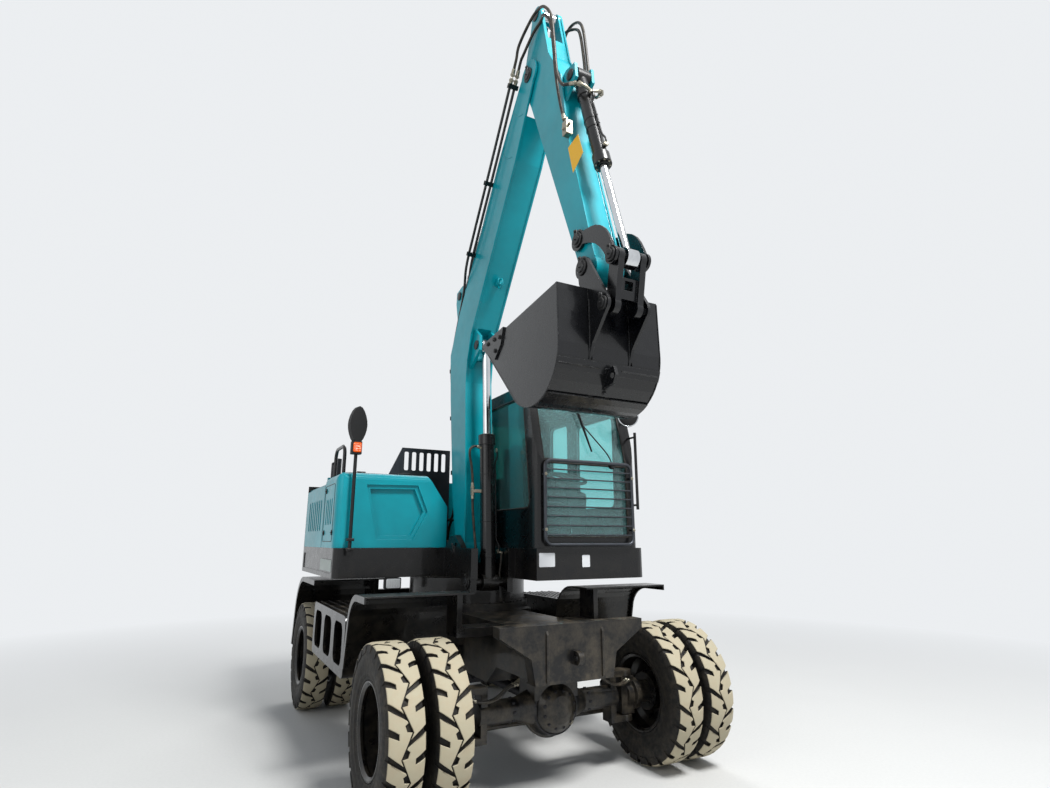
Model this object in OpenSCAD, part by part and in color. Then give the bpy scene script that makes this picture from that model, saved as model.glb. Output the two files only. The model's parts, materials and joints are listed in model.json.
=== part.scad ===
// Wheeled excavator with twin tyres, one boom cylinder, and its arm and bucket folded for parking.
// The machine faces -Y, its left-hand side is +X, and the ground is Z = 0.
// Side outlines are drawn in the (Y, Z) plane, with Y counted from the swing axis.

/* [Wheels] */
// Diameter over the tyre's lugs
tyre_d = 980; // [940:5:1020]
// Width of one tyre
tyre_w = 225; // [210:1:240]
// Diameter of the rim's seat in the tyre
rim_d = 540; // [500:5:580]
// Distance between the centre planes of twin tyres
twin_pitch = 290; // [280:1:310]
// Distance between the centre planes of the left and right twin wheels
track = 2020; // [1980:5:2060]
// Number of lugs round one edge of a tyre
lug_count = 16; // [12:1:18]
// Depth of the tyre's lugs
lug_depth = 24; // [16:1:28]

/* [Chassis] */
// Distance from the front axle to the swing axis
front_reach = 1500; // [1480:5:1540]
// Distance from the swing axis to the rear axle
rear_reach = 1270; // [1250:5:1300]
// Width of the main beam
beam_w = 560; // [500:10:600]
// Underside of the main beam
beam_low = 640; // [630:5:660]
// Top of the main beam
beam_top = 1010; // [1000:5:1030]
// Half-distance between the steering pins
king_x = 640; // [630:5:650]
// Diameter of an axle's tube
axle_d = 150; // [130:5:170]
// Diameter of the differential's ball
ball_d = 380; // [350:5:400]
// Top of the fenders
fender_top = 1230; // [1215:5:1240]
// Thickness of the fender sheet
fender_t = 12; // [10:1:16]
// Number of slots in the face of a step box
slot_count = 3; // [2:1:4]

/* [Upper structure] */
// Width over the upper structure
upper_w = 2500; // [2460:10:2520]
// Top of the deck, where the cab and the covers stand
deck_z = 1530; // [1520:5:1545]
// Depth of the deck's side skirts
skirt_h = 250; // [220:5:270]
// Back of the upper structure, from the swing axis
tail_y = 2000; // [1950:10:2040]
// Top of the covers
cover_z = 2180; // [2160:5:2200]
// Diameter of the swing ring
ring_d = 1060; // [1000:10:1100]
// Sideways place of the boom's centre plane
boom_x = -60; // [-70:1:-50]
// Number of slots along the top of the guard beside the boom
guard_slots = 6; // [4:1:8]

/* [Cab] */
// Width of the cab
cab_w = 1035; // [1010:5:1040]
// Length of the cab
cab_l = 1560; // [1500:10:1600]
// Height of the cab
cab_h = 1420; // [1400:10:1460]
// Thickness of the cab's walls and door
wall_t = 45; // [40:1:55]
// Thickness of the window panes
glass_t = 8; // [6:1:10]
// Number of bars across the lower windscreen
bar_count = 9; // [5:1:11]

/* [Boom, arm and bucket] */
// Width of the boom
boom_w = 270; // [250:5:290]
// Width of the arm
arm_w = 220; // [200:5:230]
// Thickness of the side plates of the boom and the arm
plate_t = 14; // [10:1:18]
// Width over the bucket's side plates
bucket_w = 800; // [760:10:840]
// Thickness of the bucket's shell
shell_t = 18; // [14:1:22]
// Number of teeth
tooth_count = 5; // [4:1:6]
// Diameter of the boom cylinder's barrel
boom_barrel_d = 130; // [120:5:140]
// Diameter of the arm cylinder's barrel
arm_barrel_d = 120; // [110:5:130]
// Diameter of the bucket cylinder's barrel
bucket_barrel_d = 105; // [95:5:110]

/* [Hidden] */

// Paints
teal = [0.03, 0.50, 0.55];
black = [0.06, 0.06, 0.07];
grey = [0.30, 0.31, 0.33];
steel = [0.75, 0.76, 0.78];
pane = [0.6, 0.85, 0.8, 0.4];

// Gap between moving pieces, gap at pins, and the seat between pieces that touch
clear = 8;
pin_gap = 0.25;
seat_gap = 0.3;
// Place of the swing axis along Y
swing_y = 362;

axle_z = tyre_d / 2;
front_y = -front_reach;
rear_y = rear_reach;
twin_in = track / 2 - twin_pitch / 2;
twin_out = track / 2 + twin_pitch / 2;
twin_mid = track / 2;
lug_pitch = 360 / lug_count;
king_z = [axle_z - 130, axle_z + 130];
skirt_low = deck_z - skirt_h;
ring_r = ring_d / 2;
ring_h = 60;
upper_x = upper_w / 2;

// The deck's front edges: under the right cover, beside the boom and under the cab
cover_y = -50;
foot_y = -700;
cab_y0 = -1080;
cab_x0 = boom_x + boom_w / 2 + 70;
cab_x1 = cab_x0 + cab_w;
// Corner radius of the cab seen from above, and of the back edge of its roof
cab_r = 70;
roof_r = 80;
cab_y1 = cab_y0 + cab_l;
cab_z0 = deck_z + seat_gap;
cab_top = cab_z0 + cab_h;
// Height of the bar between the lower and the upper windscreen
screen_z = cab_top - 700;
// Gap between the cab and the covers behind it, and length of the counterweight
cab_gap = 80;
tail_l = 420;
hood_y = [cab_y1 + cab_gap, tail_y - tail_l - 10];
hood_pin = [hood_y[0] + 22, cover_z + 14];
hood_hinges = [-500, 900];
door_y = [cab_y0 + 200, cab_y0 + 1010];
door_hinges = [deck_z + 250, deck_z + 1050];
side_hinges = [deck_z + 130, deck_z + 430];

// Pivots in the plane of the boom, as [y, z]
foot = [-280, 1500];
bend = [-130, 3420];
tip = [-1580, 5500];
boom_base = [-600, 1250];
boom_eye = [-480, 3380];
arm_base = [0, 4050];
arm_eye = [-1677, 6051];
wrist = [-2380, 3350];
rocker_pin = [-2290, 3600];
link_pin = [-2660, 3330];
bucket_pin = [-2600, 3020];
curl_base = [-2171, 5059];

// Radii of the pins and of the bosses round them
pin_r = 35;
boss_r = 70;
link_pin_r = 28;

// Radius of the spindles that carry the wheels
spindle_r = 78;

// Sideways places of the rocker's plates and of the bucket's ears, from the boom's centre plane
rocker_in = arm_w / 2 + clear;
rocker_t = 18;
ear_in = rocker_in + rocker_t + clear;
ear_t = 22;

// Hinges of the doors: distance of the pin from the wall, radii of barrel and pin, length of a barrel
hinge_off = 12;
hinge_r = 11;
hinge_pin_r = 5;
hinge_l = 40;
leaf_t = 5;

// Cross boxes at the chassis ends, from the axles, and the tow eyes on them
nose_off = 360;
nose_l = 100;
nose_top = 1062;
tow_r = 21;
tow_t = 40;
tow_z = 850;
tow_off = 38;
tow_eye_r = 42;
// How far the ribs stand proud of the cross boxes, short of a pin through the tow eyes
rib_out = tow_off - tow_r - 5;

// Step boxes between the fenders
step_y = [front_y + 800, rear_y - 650];
step_z = [620, 1050];
step_x = [839, 1250];
step_t = 24;

// Corner radius of windows and doors, and of the sheet metal
glass_r = 60;
sheet_r = 50;

function turn(a) = atan2(a[1], a[0]);
function arc(c, r, a0, a1, n) = [for (i = [0:n]) c + r * [cos(mix(a0, a1, i / n)), sin(mix(a0, a1, i / n))]];
function mix(a, b, t) = a + (b - a) * t;
// A point at a distance along the line from a to b, and off it to its left
function along(a, b, d, off) = a + (b - a) / norm(b - a) * d
    + [-(b - a)[1], (b - a)[0]] / norm(b - a) * off;
// Rectangle with round corners
function round_box(lo, hi, r, n = 4) = concat(
    arc([hi[0] - r, hi[1] - r], r, 0, 90, n), arc([lo[0] + r, hi[1] - r], r, 90, 180, n),
    arc([lo[0] + r, lo[1] + r], r, 180, 270, n), arc([hi[0] - r, lo[1] + r], r, 270, 360, n));

// Shapes
module side_plate(x0, x1) { translate([x0, 0, 0]) rotate([90, 0, 90]) linear_extrude(x1 - x0) children(); }
module front_plate(y0, y1) { translate([0, y1, 0]) rotate([90, 0, 0]) linear_extrude(y1 - y0) children(); }
module plan_plate(z0, z1) { translate([0, 0, z0]) linear_extrude(z1 - z0) children(); }
module rod_x(p, r, x0, x1) { translate([x0, p[0], p[1]]) rotate([0, 90, 0])
    cylinder(r = r, h = x1 - x0, $fn = 48); }
module block(lo, hi) { translate(lo) cube(hi - lo); }
module both_sides() { children(); mirror([1, 0, 0]) children(); }
module spot(p, r) { translate(p) circle(r = r, $fn = 48); }
module along_line(a, b) { translate([boom_x, a[0], a[1]]) rotate([turn(b - a) - 90, 0, 0]) children(); }
// A plate, and its twin on the other side of the boom's centre plane, from x0 to x1 off it
module twin_plates(x0, x1) {
    side_plate(boom_x + x0, boom_x + x1) children();
    side_plate(boom_x - x1, boom_x - x0) children();
}
// Upright hinge with its pin at (x, y): the fixed barrels above and below, and the moving one between them
module hinge_fixed(x, y, z) {
    for (k = [-1, 1]) translate([x, y, z + k * hinge_l - hinge_l / 2 + 1]) {
        cylinder(r = hinge_r, h = hinge_l - 2, $fn = 32);
        translate([-hinge_off - 2, 3, 0]) cube([leaf_t + 2, 45, hinge_l - 2]);
        translate([-hinge_off + 1, 0, 0]) cube([leaf_t - 1, 10, hinge_l - 2]);
    }
    translate([x, y, z - hinge_l * 1.4]) cylinder(r = hinge_pin_r, h = hinge_l * 2.8, $fn = 32);
}
module hinge_moving(x, y, z) {
    translate([x, y, z - hinge_l / 2 + 1]) difference() {
        union() {
            cylinder(r = hinge_r, h = hinge_l - 2, $fn = 32);
            translate([-hinge_off - 2, -50, 0]) cube([leaf_t + 2, 45, hinge_l - 2]);
            translate([-hinge_off + 1, -10, 0]) cube([leaf_t - 1, 10, hinge_l - 2]);
        }
        translate([0, 0, -1]) cylinder(r = hinge_pin_r + pin_gap, h = hinge_l, $fn = 32);
    }
}
// Handrail: an upside-down U of tube in the plane x, from y0 to y1, with round corners
module rail(x, y0, y1, z0, z1, r, bend_r) {
    for (y = [y0, y1]) translate([x, y, z0]) cylinder(r = r, h = z1 - bend_r - z0, $fn = 24);
    translate([x, y0 + bend_r, z1]) rotate([-90, 0, 0]) cylinder(r = r, h = y1 - y0 - 2 * bend_r, $fn = 24);
    for (k = [[y0 + bend_r, -90], [y1 - bend_r, 90]])
        translate([x, k[0], z1 - bend_r]) rotate([90, 0, k[1]]) quarter_tube(bend_r, r);
}
module quarter_tube(bend_r, r) {
    rotate_extrude(angle = 90, $fn = 48) translate([bend_r, 0]) circle(r = r, $fn = 24);
}

// One row of lugs as the outline of a toothed wheel: for each corner of a lug its place in the pitch and its
// radius
function lug_row(r) = [for (i = [0:lug_count - 1]) each
    [for (k = [[-0.24, r - lug_depth], [-0.19, r], [0.19, r], [0.24, r - lug_depth]])
        k[1] * [cos((i + k[0]) * lug_pitch), sin((i + k[0]) * lug_pitch)]]];
function ring_line(n, r) = [for (i = [0:n - 1]) r * [cos(i * 360 / n), sin(i * 360 / n)]];

// Tyre about the X axis at the origin: two rows of slanted lugs half a pitch apart, between bulged side walls
module tyre() {
    r = tyre_d / 2;
    half = tyre_w / 2;
    tread = half * 0.84;
    side_n = 24;
    side_r = r - lug_depth * 1.4;
    rotate([0, 90, 0]) difference() {
        union() for (s = [0, 1]) mirror([0, 0, s]) rotate([0, 0, s * lug_pitch / 2]) {
            linear_extrude(tread, twist = lug_pitch * 0.4, slices = 1) polygon(lug_row(r));
            translate([0, 0, tread - 1]) linear_extrude(half - tread + 1, scale = 0.76)
                polygon(ring_line(side_n, side_r));
        }
        translate([0, 0, -half - 1]) linear_extrude(tyre_w + 2)
            polygon(ring_line(side_n, rim_d / 2 / cos(180 / side_n)));
    }
}
module twin_tyres(y, side) {
    for (x = [twin_in, twin_out]) translate([side * x, y, axle_z]) tyre();
}

// Half of a twin wheel's rims, as [radius, distance from the wheel's centre plane]: lip, well, dished disc
module rim_section(r) {
    wide = tyre_w * 0.43;
    disc = twin_pitch / 2;
    rotate_extrude($fn = 64) polygon([
        [r, wide], [r - 10, wide], [r - 28, wide - 14], [r - 28, wide - 30], [r - 14, wide - 44],
        [r - 14, -34], [r - 44, -66], [190, -disc + 28], [120, -disc + 14], [120, -disc],
        [200, -disc], [r - 36, -84], [r - 14, -72], [r - 10, -wide], [r, -wide]]);
}
// Rims of one twin wheel with the two dished discs, the hub, its cap and its nuts
module twin_rims(y, side) {
    r = rim_d / 2 - seat_gap;
    nuts = 10;
    translate([0, y, axle_z]) rotate([0, side * 90, 0]) difference() {
        union() {
            translate([0, 0, twin_out]) rim_section(r);
            translate([0, 0, twin_in]) mirror([0, 0, 1]) rim_section(r);
            translate([0, 0, twin_in - 30]) cylinder(r = 130, h = twin_mid - twin_in + 44, $fn = 48);
            translate([0, 0, twin_mid]) cylinder(r = 112, h = twin_pitch / 2 - 60, $fn = 48);
            translate([0, 0, twin_out - 61]) cylinder(r = 70, h = 41, $fn = 48);
            for (i = [0:nuts - 1]) rotate([0, 0, i * 360 / nuts]) translate([150, 0, twin_mid + 10])
                cylinder(r = 18, h = 30, $fn = 6);
        }
        translate([0, 0, twin_in - 31]) cylinder(r = spindle_r + pin_gap, h = 60, $fn = 48);
        for (i = [0:4]) rotate([0, 0, i * 72 + 18]) translate([212, 0, twin_in - 100])
            cylinder(r = 17, h = twin_pitch + 200, $fn = 24);
    }
}

module chassis_frame() {
    ends = [[front_y - nose_off, -1], [rear_y + nose_off, 1]];
    color(black) difference() {
        union() {
            side_plate(-beam_w / 2, beam_w / 2) polygon([
                [front_y - 340, 760], [front_y - 200, 690], [front_y - 180, beam_low + 70],
                [front_y + 260, beam_low + 70], [front_y + 420, beam_low - 60],
                [rear_y - 420, beam_low - 60], [rear_y - 260, beam_low + 70], [rear_y + 240, beam_low + 70],
                [rear_y + 330, 760], [rear_y + 330, beam_top - 60], [rear_y + 270, beam_top],
                [front_y - 280, beam_top], [front_y - 340, beam_top - 60]]);
            plan_plate(beam_low, beam_top) polygon(round_box([-440, -520], [440, 520], 120));
            translate([0, 0, beam_top]) cylinder(r = ring_r + 30, h = ring_h, $fn = 64);
            // Cross boxes that narrow towards the ground, with their ribs
            for (end = ends)
                front_plate(min(end[0], end[0] - end[1] * nose_l), max(end[0], end[0] - end[1] * nose_l))
                polygon([[-300, 700], [300, 700], [330, 860], [555, 1000], [555, nose_top], [-555, nose_top],
                    [-555, 1000], [-330, 860]]);
            for (end = ends) for (s = [-1, 1]) side_plate(s * 215 - 8, s * 215 + 8) polygon([
                [end[0] - end[1] * 20, nose_top], [end[0] + end[1] * rib_out, 1000],
                [end[0] + end[1] * rib_out, 720], [end[0] - end[1] * 20, 700]]);
            for (y = [front_y + 860, rear_y - 920]) block([-step_x[0], y, 780], [step_x[0], y + 60, 900]);
            for (end = ends) side_plate(-tow_t / 2, tow_t / 2) union() {
                translate([min(end[0], end[0] + end[1] * tow_off), tow_z - tow_eye_r]) square([tow_off,
                    2 * tow_eye_r]);
                spot([end[0] + end[1] * tow_off, tow_z], tow_eye_r);
            }
        }
        for (end = ends) rod_x([end[0] + end[1] * tow_off, tow_z], tow_r, -tow_t, tow_t);
    }
}

module axle(y) {
    translate([0, y, axle_z]) {
        rotate([0, 90, 0]) cylinder(r = axle_d / 2, h = 2 * (king_x - 95), center = true, $fn = 48);
        for (s = [-1, 1]) scale([s, 1, 1]) rotate([0, 90, 0]) translate([0, 0, 110])
            rotate_extrude($fn = 48)
                polygon([[0, 0], [axle_d / 2 + 45, 0], [axle_d / 2 + 30, 60], [axle_d / 2, 150], [0, 150]]);
        rotate([90, 0, 0]) {
            rotate_extrude($fn = 48)
                polygon(concat([[0, -ball_d / 2]], arc([0, 0], ball_d / 2, -88, 88, 14), [[0, ball_d / 2]]));
            cylinder(r = ball_d / 2 + 14, h = 24, center = true, $fn = 48);
        }
        block([-170, -110, 60], [170, 110, beam_low + 70 - axle_z]);
    }
}
module axle_front() {
    color(black) {
        axle(front_y);
        both_sides() for (z = king_z) translate([king_x, front_y, z]) difference() {
            translate([0, 0, z < axle_z ? -40 : 0]) cylinder(r = 60, h = 40, $fn = 48);
            translate([0, 0, -50]) cylinder(r = 28, h = 100, $fn = 48);
        }
        both_sides() difference() {
            block([king_x - 150, front_y - 55, king_z[0] - 40], [king_x, front_y + 55, king_z[1] + 40]);
            block([king_x - 105, front_y - 56, king_z[0]], [king_x + 1, front_y + 56, king_z[1]]);
            translate([king_x, front_y, 0]) cylinder(r = 28, h = 2 * tyre_d, $fn = 48);
        }
    }
}
module axle_rear() {
    color(black) {
        axle(rear_y);
        both_sides() translate([0, rear_y, axle_z]) rotate([0, 90, 0]) {
            translate([0, 0, king_x - 120]) cylinder(r = 120, h = 120, $fn = 48);
            cylinder(r = spindle_r, h = twin_in + 28, $fn = 48);
        }
    }
}
module driveline() {
    shaft_z = axle_z;
    shaft_r = 38;
    color(grey) {
        plan_plate(400, beam_low - 60 - seat_gap) polygon(round_box([-150, -260], [150, 200], 50));
        for (k = [[-260, 90, front_reach - 260], [200, -90, rear_reach - 200]]) translate([0, k[0], shaft_z])
            rotate([k[1], 0, 0]) {
            cylinder(r = shaft_r, h = k[2] - ball_d / 2 - seat_gap, $fn = 32);
            cylinder(r = shaft_r + 24, h = 60, $fn = 32);
        }
    }
}

// Side outlines of the fenders, with the sheet's inner side shifted by t
function front_fender(t) = concat([[front_y + 215, fender_top - t]],
    arc([front_y + 450, fender_top - 245], 245 - t, 90, 20, 6), [[front_y + 762 - t, 708]]);
function rear_fender(t) = concat([[rear_y - 600, fender_top - t]],
    arc([rear_y + 60, fender_top - 430], 430 - t, 90, 10, 8), [[rear_y + 548 - t, 520]]);
function reversed(a) = [for (i = [len(a) - 1:-1:0]) a[i]];
module fenders() {
    x0 = 480;
    x1 = 1265;
    rim = 45;
    color(black) both_sides() {
        side_plate(x0, x1) polygon(concat(front_fender(0), reversed(front_fender(fender_t))));
        side_plate(x0, x1) polygon(concat(rear_fender(0), reversed(rear_fender(fender_t))));
        // Edges bent down along the outer side
        side_plate(x1 - fender_t, x1) polygon(concat(front_fender(0), reversed(front_fender(rim))));
        side_plate(x1 - fender_t, x1) polygon(concat(rear_fender(0), reversed(rear_fender(rim))));
        // Brackets from the main beam up to the sheets
        for (y = [front_y + 240, rear_y - 240]) {
            block([beam_w / 2 + seat_gap, y, 930], [600, y + 200, 990]);
            block([560, y, 930], [600, y + 200, fender_top - 1]);
        }
    }
}
module side_boxes() {
    slot_l = (step_y[1] - step_y[0] - 2 * step_t) / slot_count;
    color(black) both_sides() difference() {
        front_and_back = [step_y[0] + step_t, step_y[1] - step_t];
        side_plate(step_x[0] + seat_gap, step_x[1])
            polygon(round_box([step_y[0], step_z[0]], [step_y[1], step_z[1]], sheet_r));
        side_plate(step_x[0] + step_t, step_x[1] - step_t)
            polygon(round_box([front_and_back[0], step_z[0] + step_t],
                [front_and_back[1], step_z[1] - step_t], sheet_r - step_t));
        for (i = [0:slot_count - 1]) side_plate(step_x[1] - 2 * step_t, step_x[1] + 1) polygon(round_box(
            [step_y[0] + step_t + i * slot_l + 60, step_z[0] + 70],
                [step_y[0] + step_t + (i + 1) * slot_l - 60, step_z[1] - 60], 70));
    }
}

module knuckle() {
    arm_y = front_y + 190;
    difference() {
        union() {
            block([king_x - 50, front_y - 50, king_z[0] + 5], [king_x + 60, front_y + 50, king_z[1] - 5]);
            translate([king_x + 50, front_y, axle_z]) rotate([0, 90, 0]) cylinder(r = 110, h = 40, $fn = 48);
            rod_x([front_y, axle_z], spindle_r, king_x, twin_in + 28);
            translate([king_x, front_y, king_z[0] - 40])
                cylinder(r = 28 - pin_gap, h = king_z[1] - king_z[0] + 80, $fn = 48);
            block([king_x - 45, front_y, king_z[0] + 10], [king_x - 5, arm_y, king_z[0] + 50]);
            translate([king_x - 25, arm_y, king_z[0] + 10]) cylinder(r = 30, h = 40, $fn = 32);
        }
        translate([king_x - 25, arm_y, 0]) cylinder(r = 14, h = 2 * tyre_d, $fn = 32);
    }
}
module knuckle_left() { color(grey) knuckle(); }
module knuckle_right() { color(grey) mirror([1, 0, 0]) knuckle(); }
module tie_rod() {
    z = king_z[0] + 10;
    rod_y = front_y + 190;
    color(grey) {
        translate([0, rod_y, z - 25]) rotate([0, 90, 0])
            cylinder(r = 18, h = 2 * (king_x - 55), center = true, $fn = 32);
        both_sides() translate([king_x - 25, rod_y, z - 45]) cylinder(r = 30, h = 43, $fn = 32);
        translate([king_x - 25, rod_y, z - 4]) cylinder(r = 14 - pin_gap, h = 50, $fn = 32);
    }
}

module tyres_front_left() { color(black) twin_tyres(front_y, 1); }
module tyres_front_right() { color(black) twin_tyres(front_y, -1); }
module tyres_rear_left() { color(black) twin_tyres(rear_y, 1); }
module tyres_rear_right() { color(black) twin_tyres(rear_y, -1); }
module rims_front_left() { color(black) twin_rims(front_y, 1); }
module rims_front_right() { color(black) twin_rims(front_y, -1); }
module rims_rear_left() { color(black) twin_rims(rear_y, 1); }
module rims_rear_right() { color(black) twin_rims(rear_y, -1); }

// Deck, its skirts, the swing ring and the ears for the boom's foot and its cylinder
module platform() {
    tail = tail_y - tail_l;
    gap_x = [boom_x - boom_w / 2 - 7, boom_x + boom_w / 2 + 7];
    color(black) {
        difference() {
            union() {
                translate([0, 0, beam_top + ring_h + seat_gap])
                    cylinder(r = ring_r, h = skirt_low - beam_top - ring_h - seat_gap, $fn = 64);
                plan_plate(skirt_low, deck_z) polygon(concat(
                    [[upper_x, tail], [-upper_x, tail]],
                        arc([-upper_x + sheet_r, cover_y - 20 + sheet_r], sheet_r, 180, 270, 4),
                    [[gap_x[0] - 60, cover_y - 20], [gap_x[0] - 60, foot_y], [cab_x0, foot_y],
                        [cab_x0, cab_y0]],
                    arc([upper_x - 90, cab_y0 + 90], 90, 270, 360, 5)));
                twin_plates(boom_w / 2 + 7, boom_w / 2 + 57) polygon([
                    [60, deck_z - 100], [-180, foot[1] + 130], [-300, foot[1] + 140], [-420, foot[1] + 60],
                    [boom_base[0] - 80, boom_base[1] + 60], [boom_base[0] - 80, boom_base[1] - 80],
                    [-560, skirt_low - 60], [60, skirt_low - 60]]);
            }
            block([gap_x[0], foot_y - 20, skirt_low - 100], [gap_x[1], 20, deck_z + 400]);
            // Sunk panels in the skirts
            for (k = [[-1, cover_y + 60, tail - 60], [1, cab_y0 + 120, foot_y + 640],
                [1, foot_y + 720, tail - 60]])
                side_plate(k[0] * (upper_x - 3.5) - 4.5, k[0] * (upper_x - 3.5) + 4.5)
                    polygon(round_box([k[1], skirt_low + 40], [k[2], deck_z - 60], 24));
        }
        for (p = [foot, boom_base])
            rod_x(p, pin_r - pin_gap, boom_x - boom_w / 2 - 55, boom_x + boom_w / 2 + 55);
    }
}

// Side outline of the cab, shrunk by t
screen_foot = [cab_y0, screen_z];
screen_head = [cab_y0 + 330, cab_top - 200] + 200 * [cos(155), sin(155)];
function cab_side(t) = concat([[cab_y0 + t, cab_z0 + t], [cab_y1 - t, cab_z0 + t]],
    arc([cab_y1 - roof_r, cab_top - roof_r], roof_r - t, 0, 90, 6),
        arc([cab_y0 + 330, cab_top - 200], 200 - t, 90, 155, 5),
    [[cab_y0 + t, screen_z]]);
screen_x = [cab_x0 + 75, cab_x1 - 110];
// The cab's front at a height, and at a distance from its side, where its corner is round
function front_at(z, d) = max(cab_y0 + cab_r - sqrt(cab_r * cab_r - pow(max(cab_r - d, 0), 2)),
    mix(cab_y0, screen_head[0], (z - screen_z) / (screen_head[1] - screen_z)));
function cab_plan(t, r) = round_box([cab_x0 + t, cab_y0 + t], [cab_x1 - t, cab_y1 - t], r);
// The side window follows the slanted pillar
function side_window(t) = concat(
    arc([cab_y1 - 110 - glass_r, cab_top - 110 - glass_r], glass_r - t, 0, 90, 3),
    arc([cab_y0 + 330, cab_top - 220], 110 - t, 90, 160, 3),
    arc([cab_y0 + 120 + glass_r, deck_z + 330 + glass_r], glass_r - t, 180, 270, 3),
    arc([cab_y1 - 110 - glass_r, deck_z + 330 + glass_r], glass_r - t, 270, 360, 3));
function rear_window(t) = round_box([cab_x0 + 110 + t, deck_z + 700 + t],
    [cab_x1 - 110 - t, cab_top - 130 - t], glass_r, 3);
function back_window(t) = round_box([door_y[1] + 90 + t, deck_z + 700 + t],
    [cab_y1 - 90 - t, cab_top - 130 - t], glass_r, 3);
function door_window(t) = round_box([door_y[0] + 80 + t, deck_z + 360 + t],
    [door_y[1] - 80 - t, cab_top - 190 - t], glass_r, 3);
function door_line(t) = round_box([door_y[0] + t, deck_z + 60 + t], [door_y[1] - t, cab_top - 110 - t],
    glass_r, 3);
module cab_shell() {
    color(black) {
        difference() {
            intersection() {
                side_plate(cab_x0, cab_x1) polygon(cab_side(0));
                plan_plate(deck_z - 10, cab_top + 10) polygon(cab_plan(0, cab_r));
            }
            intersection() {
                side_plate(cab_x0, cab_x1) polygon(cab_side(wall_t));
                plan_plate(deck_z - 10, cab_top + 10) polygon(cab_plan(wall_t, 25));
            }
            // Lower and upper windscreen, right window, rear window, door and the window behind it
            block([screen_x[0], cab_y0 - 50, deck_z + 90], [screen_x[1], cab_y0 + 60, screen_z - 15]);
            block([screen_x[0], cab_y0 - 50, screen_z + 15], [screen_x[1], cab_y0 + 230, cab_top - 170]);
            side_plate(cab_x0 - 50, cab_x0 + 100) polygon(side_window(0));
            front_plate(cab_y1 - 100, cab_y1 + 50) polygon(rear_window(0));
            side_plate(cab_x1 - 100, cab_x1 + 50) polygon(door_line(0));
            side_plate(cab_x1 - 100, cab_x1 + 50) polygon(back_window(0));
        }
        for (z = door_hinges) hinge_fixed(cab_x1 + hinge_off, door_y[1] - clear, z);
        // Raised panel of the roof and the rain gutter over the door
        plan_plate(cab_top - 1, cab_top + 14)
            polygon(round_box([cab_x0 + 120, cab_y0 + 420], [cab_x1 - 120, cab_y1 - 220], 60));
        side_plate(cab_x1 - 1, cab_x1 + 14)
            polygon([[door_y[0] - 40, cab_top - 98], [door_y[1] + 60, cab_top - 98],
            [door_y[1] + 60, cab_top - 90], [door_y[0] - 40, cab_top - 90]]);
    }
}
module cab_glass() {
    color(pane) {
        block([screen_x[0] + seat_gap, cab_y0 + 18, deck_z + 90 + seat_gap],
            [screen_x[1] - seat_gap, cab_y0 + 18 + glass_t, screen_z - 15 - seat_gap]);
        side_plate(screen_x[0] + seat_gap, screen_x[1] - seat_gap) polygon([
            along(screen_foot, screen_head, 25, -18), along(screen_foot, screen_head, 550, -18),
            along(screen_foot, screen_head, 550, -18 - glass_t),
                along(screen_foot, screen_head, 25, -18 - glass_t)]);
        side_plate(cab_x0 + 18, cab_x0 + 18 + glass_t) polygon(side_window(seat_gap));
        front_plate(cab_y1 - 30, cab_y1 - 30 + glass_t) polygon(rear_window(seat_gap));
        side_plate(cab_x1 - 30, cab_x1 - 30 + glass_t) polygon(back_window(seat_gap));
    }
}
module cab_door() {
    color(black) {
        side_plate(cab_x1 - wall_t, cab_x1) difference() {
            polygon(door_line(clear));
            polygon(door_window(0));
        }
        for (z = door_hinges) hinge_moving(cab_x1 + hinge_off, door_y[1] - clear, z);
        // Handle
        side_plate(cab_x1 - 1, cab_x1 + 30)
            polygon(round_box([door_y[0] + 30, deck_z + 500], [door_y[0] + 60, deck_z + 640], 14, 2));
    }
}
module door_glass() {
    middle = cab_x1 - wall_t / 2;
    color(pane) side_plate(middle - glass_t / 2, middle + glass_t / 2) polygon(door_window(seat_gap));
}
cab_mid = cab_x0 + cab_w / 2;
cab_floor = cab_z0 + wall_t + seat_gap;
module seat() {
    color(grey) {
        block([cab_mid - 190, cab_y0 + 740, cab_floor], [cab_mid + 190, cab_y0 + 1130, cab_floor + 270]);
        side_plate(cab_mid - 245, cab_mid + 245) polygon(concat(
            [[cab_y0 + 1180, cab_floor + 260], [cab_y0 + 1180, cab_floor + 380]],
            arc([cab_y0 + 720, cab_floor + 330], 60, 90, 270, 6), [[cab_y0 + 1000, cab_floor + 260]]));
        side_plate(cab_mid - 230, cab_mid + 230) polygon(concat(
            [[cab_y0 + 1060, cab_floor + 370], [cab_y0 + 1190, cab_floor + 370]],
            arc([cab_y0 + 1235, cab_floor + 950], 55, -10, 180, 6)));
    }
}
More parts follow.
